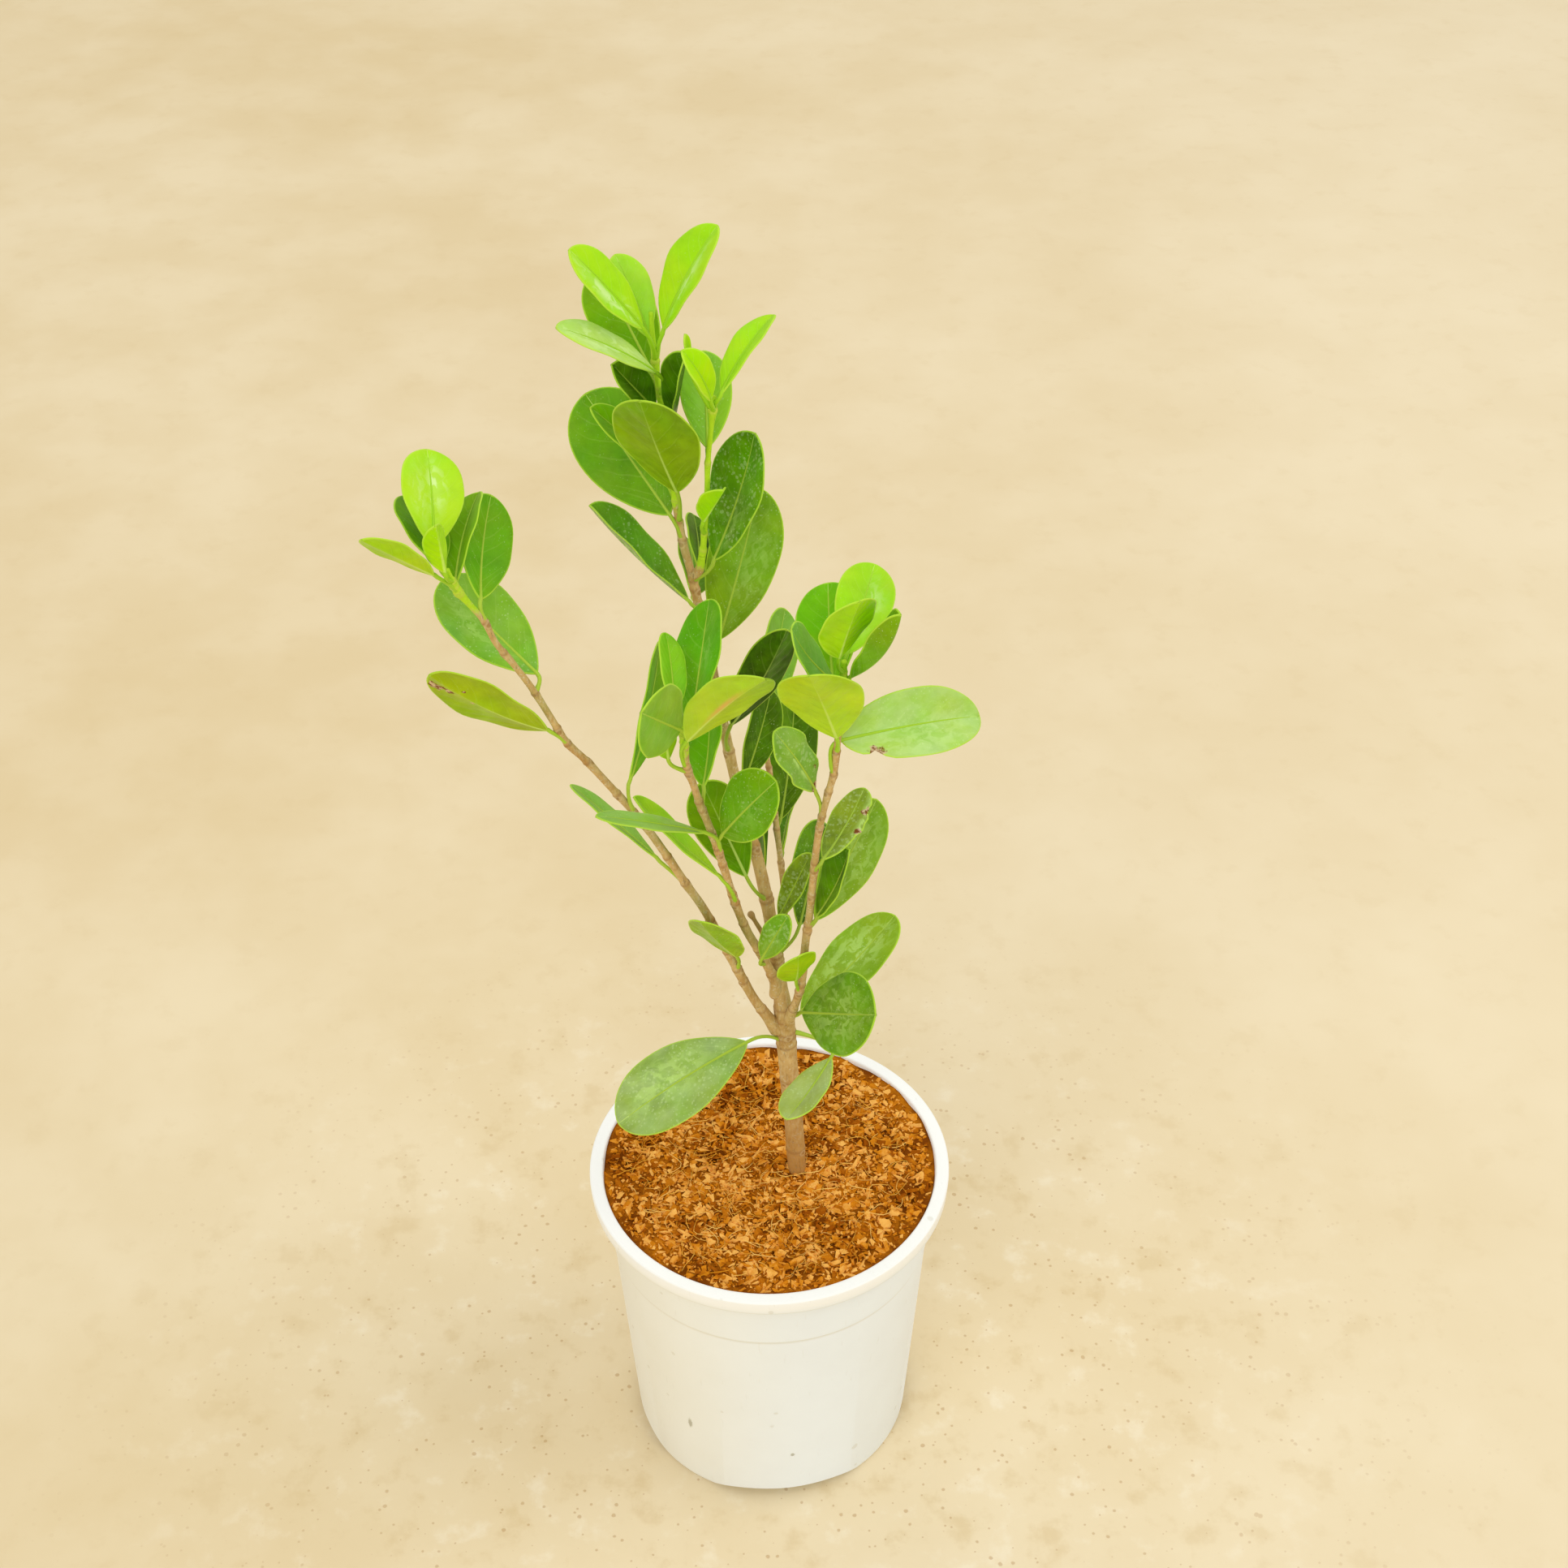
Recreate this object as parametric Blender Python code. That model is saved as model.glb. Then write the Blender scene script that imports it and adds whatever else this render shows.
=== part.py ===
"""A weeping-fig cousin with thick rounded leaves, standing in a white nursery pot of coconut fibre.

Lengths are in millimetres until the last step, where every point is scaled to metres.
The pot stands on z = 0 and its axis is x = y = 0. Minus y is the front.
"""
import math

import bpy
import numpy as np

MM = 0.001
GAP = 0.3

# Pot
POT_HEIGHT = 125.0
RIM_RADIUS = 63.5
RIM_BAND = 4.7
LIP_DROP = 6.0
WALL = 1.3
WALL_RADIUS_TOP = 58.0
FLARE_HEIGHT = 112.0
STEP_HEIGHT = 96.0
STEP_DEPTH = 0.4
BASE_RADIUS = 51.0
BASE_CORNER = 2.0
POT_SIDES = 48
DRAIN_HEIGHT = 4.5
DRAIN_DEPTH = 9.0
DRAIN_WIDTH = 58.0
DRAIN_ANGLES = [-83, 7, 97, 187]
# The floor lies above the drain arches, so none of them opens into the fibre
FLOOR_THICKNESS = DRAIN_HEIGHT + WALL

# Coconut fibre that fills the pot
SOIL_LEVEL = 123.5
SOIL_RELIEF = 0.55
SOIL_SIDES = 40
SOIL_RINGS = 7

# Trunk foot
TRUNK_FOOT = (10.3, -1.0)
TRUNK_BURIED = 12.0
TRUNK_RADIUS = 3.9

# Leaves
BLADE_THICKNESS = 0.7
BLADE_ROWS = 7
# How steeply a blade widens from its base and narrows to its tip: a low power is blunt
BASE_POWER = 0.8
TIP_POWER = 0.52
BLUNT_BASES = dict(D7=0.5)
STALK_RADIUS = 0.65
STALK_SIDES = 5

# Each stem: points up its axis (x, y, z), radius at its foot and at its top, and its number of sides.
# A branch starts on the collar that the main stem carries for it.
STEMS = {
    "main_stem": dict(
        points=[(10.3, -1, 111.5), (9.6, -1, 127), (8.7, 0, 146), (6.8, 0, 174), (5.5, 0, 197), (4, 0, 214),
                (2, 1, 233), (0, 2, 248), (-2.2, 3, 261), (-5.6, 4, 277), (-8.9, 5, 293), (-11.9, 6, 311),
                (-14.5, 7, 329), (-17.3, 9, 346), (-20.7, 11, 366), (-23.8, 13, 381), (-26.5, 15, 409),
                (-28.7, 17, 427), (-29.8, 19, 441), (-30, 20, 448)],
        foot=TRUNK_RADIUS, top=0.7, sides=8),
    "left_branch": dict(
        points=[(3.3, -1, 191), (-0.4, -3, 200), (-4.6, -5, 210), (-9.7, -8, 226), (-15, -11, 243),
                (-20.3, -14, 259), (-25, -16, 270), (-30, -18, 282.5), (-35.4, -21, 296), (-40.2, -23, 306),
                (-46.3, -26, 318), (-51.8, -28, 328), (-56.9, -30, 336.5), (-61.1, -32, 348), (-65.1, -34, 359),
                (-69.5, -36, 369), (-73.4, -38, 377.5), (-75.6, -40, 386), (-78.8, -41, 392), (-82, -43, 399),
                (-83.7, -44.5, 406)],
        foot=1.7, top=0.8, sides=6),
    "middle_branch": dict(
        points=[(3, 0, 207), (2.4, -3, 216), (-1.7, -8, 232), (-6.1, -13, 247), (-9.9, -18, 265),
                (-12.3, -22, 280), (-14.4, -26, 293), (-16.8, -29, 305), (-18.9, -32, 315), (-20.5, -34, 324),
                (-21.9, -36, 331), (-22.3, -38, 339), (-22.6, -40, 349)],
        foot=1.6, top=1.0, sides=6),
    "right_branch": dict(
        points=[(6, -1, 192), (7.4, -3, 199), (10.1, -8, 213), (11.7, -12, 227), (12.4, -16, 243),
                (13.6, -20, 259), (14.5, -23, 273), (15.4, -27, 290), (16.3, -29, 301), (17.2, -31, 309),
                (19.1, -33, 320), (20.6, -35, 329), (21.2, -37, 338), (21.7, -39, 350), (22.5, -41, 363),
                (22.8, -43, 374)],
        foot=1.5, top=0.9, sides=6),
    "back_branch": dict(
        points=[(3.3, 1, 208), (3.5, 4, 216), (4.9, 7, 226), (6, 10, 236), (5, 13, 250.5), (3.5, 16, 265.5),
                (2, 19, 281), (0, 21.5, 295.5), (-0.5, 23, 306)],
        foot=1.1, top=0.8, sides=6),
    "side_shoot": dict(
        points=[(-20.7, 11, 366), (-18.4, 9, 370), (-17.2, 7, 377.5), (-16.2, 5, 388.5), (-15.4, 4, 398.5),
                (-14.9, 3, 409.5), (-14, 2, 418.5), (-13.1, 1, 427), (-12.6, 0.5, 432.5)],
        foot=0.9, top=0.7, sides=6),
}

# Height at which each branch leaves the collar of the main stem
COLLAR_TOPS = dict(left_branch=206, middle_branch=233, right_branch=213, back_branch=231, side_shoot=376)

# Leaves: name, height on the stem where the stalk leaves it (or that place itself), blade's base,
# blade's tip, width, roll about its length, fold of each half and rise of the arch as a share of length
LEAVES = {
    "main_stem": [
        ("T1", 434, (-32, 14.5, 445.5), (-51, 12, 471), 14.5, -30, 12, 0.02),
        ("T2", 436, (-31, 20, 440), (-40, 29, 461), 14, 0, 10, 0.03),
        ("T3", 434, (-26.5, 17.5, 443.5), (-11, 27, 470.5), 18, 0, 16, 0.05),
        ("T4", 426, (-30, 20, 428), (-46, 47, 447.5), 20, -20, 8, 0.03),
        ("T5", 424, (-28.5, 12, 433), (-55, 3, 452.5), 12.5, -15, 10, 0.045),
        ("T6", 413, (-29.5, 11.5, 421.5), (-41, 9, 438), 13, -45, 30, 0.0),
        ("T7", 411, (-24.5, 12, 417), (-20, 8, 442), 14, 65, 36, 0.0),
        ("M1", 384, (-24, 7, 397.5), (-32.5, -6, 435), 25.5, 15, 8, -0.02),
        ("M2", 378, (-26.5, 13, 386), (-51, 34, 414.5), 27, -35, 8, 0.0),
        ("M3", 391, (-29.5, 15, 399), (-48, 13, 422), 12, -25, 18, 0.03),
        ("M4", 355, (-21.5, 5, 361), (-50, 13.5, 389.5), 17, 8, 34, -0.03),
        ("M5", 365, (-14, 8, 373.5), (-1.5, 16.5, 411.5), 23, 5, 14, -0.04),
        ("M6", 341, (-13.5, 11.5, 342.5), (-1, 35.5, 381.5), 23, 40, 8, 0.03),
        ("M8", 357, (-21, 14, 357), (-23, 43, 358), 16, 45, 14, 0.03),
        ("M9", 362, (-19, 16, 365), (-21, 37, 371), 12, 45, 14, 0.03),
        ("L1", 247, (-6, -4.5, 262), (-19.5, 1.5, 296), 18.5, 130, 10, 0.03),
        ("L2", 249, (-0.5, 6.5, 254), (-6, 27, 285), 12, 70, 30, 0.0),
        ("L3", 287, (-7, 7.5, 290.5), (2, 26, 313.5), 14, 60, 14, 0.03),
        ("E1", 305, (-10, 0, 319), (7, 4.5, 351.5), 17.5, -80, 12, -0.05),
        ("D10L", 224, (10.5, 3.5, 233.5), (17.5, 29, 258), 17, 40, 10, 0.03),
        ("D12a", 222, (4, -2, 242), (14.5, -1.5, 269.5), 9.5, 45, 22, 0.0),
        ("D12b", (-0.4, -6.5, 227), (-1.5, -12.5, 234), (7.3, -13, 253.5), 10, 60, 14, 0.03),
        ("D13", 196, (11, 1, 197), (43.5, 30, 214.5), 23, -5, 10, -0.04),
        ("D14", 188, (11.5, -3.5, 201.5), (35, -28, 224), 28, 55, 6, -0.03),
        ("K1", 184, (-6.5, -8, 192.5), (-49.5, -29, 175.5), 26, -25, 6, 0.09),
        ("K2", 190, (21.5, -6, 183), (6, -29, 177), 15.5, 15, 12, -0.04),
    ],
    "left_branch": [
        ("B1", 400, (-87.5, -39, 409.5), (-90, -17.5, 427), 18.5, 25, 10, 0.04),
        ("B2", 402, (-83.5, -48.5, 407.5), (-84.5, -50, 423.5), 9, 80, 30, 0.0),
        ("B3", 398, (-86.5, -48, 406.5), (-102.5, -58, 424.5), 12, 40, 12, 0.0),
        ("B4", 402, (-86, -40.5, 403.5), (-97, -21, 414.5), 16, 25, 12, 0.02),
        ("B5", 397, (-82, -40.5, 399), (-77, -17, 413), 16, -35, 20, 0.05),
        ("B6", 386, (-76.5, -38.5, 392), (-75, -9.5, 407.5), 19, 45, 8, -0.05),
        ("B7", 357, (-63.5, -30.5, 361), (-91, -9, 379), 22, -15, 8, -0.01),
        ("B8", 336, (-61.5, -32.5, 342.5), (-93, -37, 366), 22, 60, 6, -0.05),
        ("B9", 270, (-33.5, -14.5, 278.5), (-61, 8, 290), 13.5, 35, 10, 0.0),
        ("B10", 304, (-40, -22.5, 316), (-31, 9.5, 344), 16.5, 80, 12, 0.025),
        ("B11", 226, (-9.5, -13.5, 236), (-20, -27, 263.5), 17, 15, 8, -0.02),
    ],
    "middle_branch": [
        ("C1", 343, (-20, -36.5, 346.5), (-15, -6.5, 370), 20.5, -40, 12, 0.0),
        ("C2", 346, (-25, -41.5, 354), (-27.7, -17.5, 366), 10.5, 40, 14, 0.03),
        ("C4", 341, (-23, -43, 350.5), (-32.5, -64.5, 373), 22, -95, 10, -0.02),
        ("C5", 332, (-21.5, -41.5, 345), (1, -49.5, 373), 22, -50, 12, 0.035),
        ("C6", 330, (-27, -40, 337.5), (-27.5, -44, 351), 8, 35, 14, 0.0),
        ("C7", 312, (-17.5, -28.5, 318), (-16, -2, 329.5), 17.5, -50, 14, -0.03),
        ("C10", 293, (-12.5, -29, 300), (4, -38, 328), 20, 65, 8, 0.03),
        ("C11", 290, (-17.5, -31, 302.5), (-49, -40.5, 317), 9.5, 5, 6, 0.015),
        ("C12", 263, (-14, -21.5, 277), (-40, -11, 300.5), 11.5, 15, 20, -0.03),
    ],
    "right_branch": [
        ("D1", 368, (23.5, -39.5, 373.5), (32, -11.5, 385), 17, 20, 8, 0.04),
        ("D2", 370, (21.2, -47.5, 378), (26.4, -51.7, 400), 19, -16, 8, 0.017),
        ("D3", 362, (20, -39, 362.5), (19, -7.5, 376), 19.5, -15, 10, 0.025),
        ("D4", 364, (20.5, -43, 366), (8, -47, 388), 15, -25, 8, -0.06),
        ("D5", 363, (24.5, -42.5, 368), (37.6, -50, 394.5), 15, 0, 48, -0.1),
        ("D6", 338, (21, -41.5, 346), (13, -58.5, 380.5), 24, 20, 8, 0.02),
        ("D7", 328, (22.3, -36, 341), (63.5, -17.3, 335.2), 22.3, 41, 23, 0.09),
        ("D8", 309, (15, -32.5, 319.5), (3, -36, 344.5), 13.5, -50, 10, 0.05),
        ("D9", 283, (17.5, -27, 288), (31, 0.5, 294), 12, 0, 8, -0.07),
        ("D10", 252, (15.5, -16, 253.5), (35, 7.5, 284), 20.5, 60, 10, 0.01),
        ("D11", 255, (16, -21, 259.5), (26, -21, 287.5), 15, 20, 26, -0.05),
        ("D15", 217, (9.5, -15.5, 227.5), (10, -26, 247.5), 14.5, 25, 8, -0.02),
    ],
    "back_branch": [
        ("L4", 265, (4.5, 17.5, 267), (9.5, 42, 300.5), 20, 45, 10, 0.03),
        ("L6", 253, (5.5, 16, 255), (11.5, 41.5, 264.5), 14, -55, 20, 0.03),
        ("E2", 294, (-2.5, 23, 306.5), (6.5, 52, 326), 18, 60, 14, 0.03),
    ],
    "side_shoot": [
        ("M7", 385, (-16.5, 1.5, 391), (-10.5, -0.5, 403), 11, -30, 30, 0.0),
        ("T9", 410, (-15, 6, 412.5), (-16, 28, 431.5), 15.5, 10, 10, 0.0),
        ("T10a", 428, (-13.5, -2.5, 432.5), (-21, -3.5, 449), 10, -40, 25, 0.08),
        ("T10c", 428, (-19, 1, 442), (-20, 1, 451.5), 3.5, -30, 10, 0.0),
        ("T11", 429, (-10.5, -0.5, 433.5), (4, 22.5, 445.5), 12, -20, 20, 0.045),
    ],
}

# Dead twig below the fork of the middle branch: from the leader's axis to its knobbed end
TWIG = [(2.8, 0.5, 225), (-1.1, -2, 235.5), (-5.2, -5, 247.5)]
TWIG_RADII = [0.9, 0.7, 1.1]

# Colour, roughness and metallic value of each material
MATERIALS = {
    "white_plastic": ((0.86, 0.84, 0.78), 0.4, 0.0),
    "coconut_fibre": ((0.42, 0.17, 0.03), 0.95, 0.0),
    "fig_leaf": ((0.17, 0.36, 0.03), 0.4, 0.0),
}


def clear_scene():
    for obj in list(bpy.data.objects):
        bpy.data.objects.remove(obj, do_unlink=True)


def material(name):
    mat = bpy.data.materials.get(name)
    if mat is None:
        color, roughness, metallic = MATERIALS[name]
        mat = bpy.data.materials.new(name)
        mat.use_nodes = True
        shader = mat.node_tree.nodes["Principled BSDF"]
        shader.inputs["Base Color"].default_value = (*color, 1)
        shader.inputs["Roughness"].default_value = roughness
        shader.inputs["Metallic"].default_value = metallic
    return mat


def mesh_object(name, points, faces, material_name, collection=None):
    mesh = bpy.data.meshes.new(name)
    mesh.from_pydata([tuple(float(c) * MM for c in p) for p in points], [], faces)
    mesh.update()
    obj = bpy.data.objects.new(name, mesh)
    obj.data.materials.append(material(material_name))
    (collection or bpy.context.scene.collection).objects.link(obj)
    return obj


def unit(vector):
    return vector / np.linalg.norm(vector)


def along(points, height):
    """The point of a stem's axis at a height, and the stem's share of the way up to it."""
    for k, (low, high) in enumerate(zip(points[:-1], points[1:])):
        if low[2] <= height <= high[2]:
            part = (height - low[2]) / (high[2] - low[2])
            return np.array(low) + part * (np.array(high) - np.array(low)), k + part
    raise ValueError(f"no stem at height {height}")


def tube(points, radii, sides):
    """A closed tube round a path, its rings carried along without twist."""
    points = [np.array(p, float) for p in points]
    across = unit(np.cross(unit(points[1] - points[0]), (0.3, 1.0, 0.1)))
    verts, faces = [], []
    for k, point in enumerate(points):
        ahead = points[min(k + 1, len(points) - 1)] - points[max(k - 1, 0)]
        tangent = unit(ahead)
        across = unit(across - tangent * (across @ tangent))
        other = np.cross(tangent, across)
        for i in range(sides):
            angle = 2 * math.pi * i / sides
            verts.append(point + radii[k] * (across * math.cos(angle) + other * math.sin(angle)))
    for k in range(len(points) - 1):
        for i in range(sides):
            j = (i + 1) % sides
            faces.append((k * sides + i, k * sides + j, (k + 1) * sides + j, (k + 1) * sides + i))
    faces.append(tuple(reversed(range(sides))))
    last = (len(points) - 1) * sides
    faces.append(tuple(range(last, last + sides)))
    return verts, faces


def blade_frame(base, tip, roll):
    """A leaf's length, its direction, the normal of its upper face and its right-hand side."""
    base, tip = np.array(base, float), np.array(tip, float)
    length = np.linalg.norm(tip - base)
    ahead = (tip - base) / length
    level = unit(np.cross(ahead, (0, 0, 1)))
    upright = np.cross(level, ahead)
    turn = math.radians(roll)
    normal = math.cos(turn) * upright + math.sin(turn) * level
    return base, length, ahead, normal, np.cross(ahead, normal)


def outline(t, power):
    """Half-width of a blade, as a share of its widest, from its base (0) to its tip (1)."""
    widest = power / (power + TIP_POWER)
    return t ** power * (1 - t) ** TIP_POWER / (widest ** power * (1 - widest) ** TIP_POWER)


def blade(base, tip, width, roll, fold, arch, power=BASE_POWER):
    """A closed thin blade: two margins and a midrib, arched along and folded across."""
    base, length, ahead, normal, side = blade_frame(base, tip, roll)
    slope = math.radians(fold)
    end_half = min(0.9, 0.08 * width)
    verts = []
    for face_side in (1, -1):
        for k in range(BLADE_ROWS + 1):
            t = 0.5 - 0.5 * math.cos(math.pi * k / BLADE_ROWS)
            half = max(0.5 * width * outline(t, power), end_half)
            middle = base + ahead * length * t + normal * length * arch * 4 * t * (1 - t)
            middle = middle + normal * face_side * BLADE_THICKNESS / 2
            lift = normal * half * math.sin(slope)
            spread = side * half * math.cos(slope)
            verts += [middle - spread + lift, middle, middle + spread + lift]
    count = 3 * (BLADE_ROWS + 1)
    faces = []
    for k in range(BLADE_ROWS):
        for c in range(2):
            a = 3 * k + c
            b, d, e = a + 1, a + 3, a + 4
            corner = [(a, b, d), (b, e, d)] if c else [(a, b, e), (a, e, d)]
            for tri in corner:
                faces.append(tri)
                faces.append(tuple(v + count for v in reversed(tri)))
    rim = [3 * k for k in range(BLADE_ROWS + 1)]
    rim += [3 * BLADE_ROWS + 1]
    rim += [3 * k + 2 for k in reversed(range(BLADE_ROWS + 1))]
    rim += [1]
    for a, b in zip(rim, rim[1:] + rim[:1]):
        faces.append((a, b, b + count))
        faces.append((a, b + count, a + count))
    return verts, faces


def stalk(start, base, ahead):
    """A leaf's stalk: from the stem's axis, turning into the blade's own direction."""
    start, base = np.array(start, float), np.array(base, float)
    reach = np.linalg.norm(base - start)
    bend = base - ahead * reach * 0.4
    end = base + ahead * 1.6
    middle = 0.25 * start + 0.5 * bend + 0.25 * base
    return tube([start, middle, end], [STALK_RADIUS] * 3, STALK_SIDES)


def stem_radii(stem):
    points = np.array(stem["points"], float)
    steps = np.linalg.norm(np.diff(points, axis=0), axis=1)
    share = np.concatenate([[0], np.cumsum(steps)]) / steps.sum()
    return list(stem["foot"] + (stem["top"] - stem["foot"]) * share ** 0.8)


def clipped(stem, low=None, high=None):
    """A stem's points and radii from one height to another."""
    points, radii = stem["points"], stem_radii(stem)
    pairs = [(p, r) for p, r in zip(points, radii)
             if (low is None or p[2] > low + 1) and (high is None or p[2] < high - 1)]
    if low is not None:
        point, where = along(points, low)
        pairs.insert(0, (tuple(point), np.interp(where, range(len(radii)), radii)))
    if high is not None:
        point, where = along(points, high)
        pairs.append((tuple(point), np.interp(where, range(len(radii)), radii)))
    return [p for p, _ in pairs], [r for _, r in pairs]


def join_pieces(body, pieces):
    """Fuses the pieces' objects into the body's mesh with one Boolean union, then removes them."""
    union = body.modifiers.new("union", "BOOLEAN")
    union.operation = "UNION"
    union.operand_type = "COLLECTION"
    union.collection = pieces
    union.solver = "EXACT"
    bpy.context.view_layer.update()
    evaluated = body.evaluated_get(bpy.context.evaluated_depsgraph_get())
    fused = bpy.data.meshes.new_from_object(evaluated)
    body.modifiers.clear()
    body.data = fused
    for obj in list(pieces.objects):
        bpy.data.objects.remove(obj, do_unlink=True)
    bpy.data.collections.remove(pieces)


def leafy_stem(name):
    """One leafy stem: its axis, the stalks and blades of its leaves and, on the main stem, the collars."""
    stem = STEMS[name]
    pieces = bpy.data.collections.new(name + "_pieces")
    bpy.context.scene.collection.children.link(pieces)
    low = COLLAR_TOPS[name] + GAP if name in COLLAR_TOPS else None
    verts, faces = tube(*clipped(stem, low=low), stem["sides"])
    body = mesh_object(name, verts, faces, "fig_leaf")
    for leaf, height, base, tip, width, roll, fold, arch in LEAVES[name]:
        start = height if isinstance(height, tuple) else along(stem["points"], height)[0]
        verts, faces = blade(base, tip, width, roll, fold, arch, BLUNT_BASES.get(leaf, BASE_POWER))
        mesh_object(leaf + "_blade", verts, faces, "fig_leaf", pieces)
        verts, faces = stalk(start, base, blade_frame(base, tip, roll)[2])
        mesh_object(leaf + "_stalk", verts, faces, "fig_leaf", pieces)
    if name == "main_stem":
        for branch, top in COLLAR_TOPS.items():
            verts, faces = tube(*clipped(STEMS[branch], high=top), STEMS[branch]["sides"])
            mesh_object(branch + "_collar", verts, faces, "fig_leaf", pieces)
        verts, faces = tube(TWIG, TWIG_RADII, STALK_SIDES)
        mesh_object("twig", verts, faces, "fig_leaf", pieces)
    join_pieces(body, pieces)
    return body


def turned(profile, sides):
    """A closed solid of revolution. The profile runs up the outside and its ends lie on the axis."""
    verts = [(0, 0, profile[0][1])]
    for radius, height in profile[1:-1]:
        for i in range(sides):
            angle = 2 * math.pi * i / sides
            verts.append((radius * math.cos(angle), radius * math.sin(angle), height))
    verts.append((0, 0, profile[-1][1]))
    faces = []
    rings = len(profile) - 2
    for i in range(sides):
        j = (i + 1) % sides
        faces.append((0, 1 + j, 1 + i))
        for k in range(rings - 1):
            a, b = 1 + k * sides, 1 + (k + 1) * sides
            faces.append((a + i, a + j, b + j, b + i))
        top = 1 + (rings - 1) * sides
        faces.append((top + i, top + j, len(verts) - 1))
    return verts, faces


def wall_radius(height):
    """Outer radius of the pot's wall below the flare."""
    return BASE_RADIUS + (WALL_RADIUS_TOP - BASE_RADIUS) * height / FLARE_HEIGHT


def cut(body, cutters):
    """Cuts each cutter out of the body, then removes it."""
    for cutter in cutters:
        cutter.hide_render = True
        cutter.display_type = "WIRE"
        modifier = body.modifiers.new("cut", "BOOLEAN")
        modifier.operation = "DIFFERENCE"
        modifier.object = cutter
        modifier.solver = "EXACT"
        bpy.context.view_layer.update()
        evaluated = body.evaluated_get(bpy.context.evaluated_depsgraph_get())
        mesh = bpy.data.meshes.new_from_object(evaluated)
        body.modifiers.clear()
        body.data = mesh
        bpy.data.objects.remove(cutter, do_unlink=True)


def drain_cutter(angle):
    """A bar across the bottom edge of the pot, which leaves a wide, shallow drain arch there."""
    turn = math.radians(angle)
    out = np.array([math.cos(turn), math.sin(turn), 0])
    across = np.array([-math.sin(turn), math.cos(turn), 0])
    near, far = BASE_RADIUS - DRAIN_DEPTH, BASE_RADIUS + 5
    half = DRAIN_WIDTH / 2
    spans = [1, 0.85, 0.6, 0.25, -0.25, -0.6, -0.85, -1]
    arch = [(-half, -1), (half, -1)] + [(half * s, DRAIN_HEIGHT * (1 - abs(s) ** 3)) for s in spans]
    count = len(arch)
    verts = [out * reach + across * x + np.array([0, 0, z]) for reach in (near, far) for x, z in arch]
    faces = [tuple(reversed(range(count))), tuple(range(count, 2 * count))]
    faces += [(i, (i + 1) % count, (i + 1) % count + count, i + count) for i in range(count)]
    cutter = mesh_object("drain_cutter", verts, faces, "white_plastic")
    return cutter


def pot():
    rim_in = RIM_RADIUS - RIM_BAND
    lip_low = POT_HEIGHT - LIP_DROP
    outside = [(0, 0), (BASE_RADIUS - BASE_CORNER, 0), (wall_radius(BASE_CORNER), BASE_CORNER),
               (wall_radius(STEP_HEIGHT) - STEP_DEPTH, STEP_HEIGHT), (wall_radius(STEP_HEIGHT), STEP_HEIGHT + 0.5),
               (WALL_RADIUS_TOP, FLARE_HEIGHT), (rim_in + WALL, POT_HEIGHT - WALL - 0.5),
               (RIM_RADIUS - WALL, POT_HEIGHT - WALL - 0.5), (RIM_RADIUS - WALL - 0.4, lip_low),
               (RIM_RADIUS - 0.4, lip_low), (RIM_RADIUS, POT_HEIGHT - 0.8), (RIM_RADIUS - 0.8, POT_HEIGHT)]
    inside = [(rim_in, POT_HEIGHT), (WALL_RADIUS_TOP - WALL, FLARE_HEIGHT),
              (wall_radius(FLOOR_THICKNESS) - WALL, FLOOR_THICKNESS), (0, FLOOR_THICKNESS)]
    verts, faces = turned(outside + inside, POT_SIDES)
    body = mesh_object("pot", verts, faces, "white_plastic")
    cut(body, [drain_cutter(angle) for angle in DRAIN_ANGLES])
    return body


def soil_height(x, y):
    """Height of the loose top of the coconut fibre, low near the trunk and with soft heaps."""
    heaps = math.sin(x * 0.16 + 1.3) * math.cos(y * 0.19 - 0.4) + 0.6 * math.sin(x * 0.37 - y * 0.29 + 0.7)
    return SOIL_LEVEL + SOIL_RELIEF * heaps


def cocopeat():
    """The fill: it follows the inside of the pot, has an uneven top and a plain hole for the trunk."""
    top_radius = RIM_RADIUS - RIM_BAND - 0.9
    foot_radius = wall_radius(FLOOR_THICKNESS) - WALL - GAP
    verts, faces = [(0, 0, FLOOR_THICKNESS + GAP)], []
    rings = [(foot_radius, FLOOR_THICKNESS + GAP), (WALL_RADIUS_TOP - WALL - GAP, FLARE_HEIGHT)]
    for radius, height in rings:
        for i in range(SOIL_SIDES):
            angle = 2 * math.pi * i / SOIL_SIDES
            verts.append((radius * math.cos(angle), radius * math.sin(angle), height))
    for k in range(SOIL_RINGS):
        radius = top_radius * (1 - k / SOIL_RINGS)
        for i in range(SOIL_SIDES):
            angle = 2 * math.pi * i / SOIL_SIDES
            x, y = radius * math.cos(angle), radius * math.sin(angle)
            verts.append((x, y, soil_height(x, y)))
    verts.append((0, 0, soil_height(0, 0)))
    levels = 2 + SOIL_RINGS
    for i in range(SOIL_SIDES):
        j = (i + 1) % SOIL_SIDES
        faces.append((0, 1 + j, 1 + i))
        for k in range(levels - 1):
            a, b = 1 + k * SOIL_SIDES, 1 + (k + 1) * SOIL_SIDES
            faces.append((a + i, a + j, b + j))
            faces.append((a + i, b + j, b + i))
        last = 1 + (levels - 1) * SOIL_SIDES
        faces.append((last + i, last + j, len(verts) - 1))
    body = mesh_object("cocopeat", verts, faces, "coconut_fibre")
    x, y = TRUNK_FOOT
    hole = TRUNK_RADIUS + 0.5
    low = SOIL_LEVEL - TRUNK_BURIED - GAP
    hole_verts, hole_faces = tube([(x, y, low), (x, y, SOIL_LEVEL + 10)], [hole, hole], 12)
    cut(body, [mesh_object("trunk_hole", hole_verts, hole_faces, "coconut_fibre")])
    return body


def main():
    clear_scene()
    pot()
    cocopeat()
    for name in STEMS:
        leafy_stem(name)


main()
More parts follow.
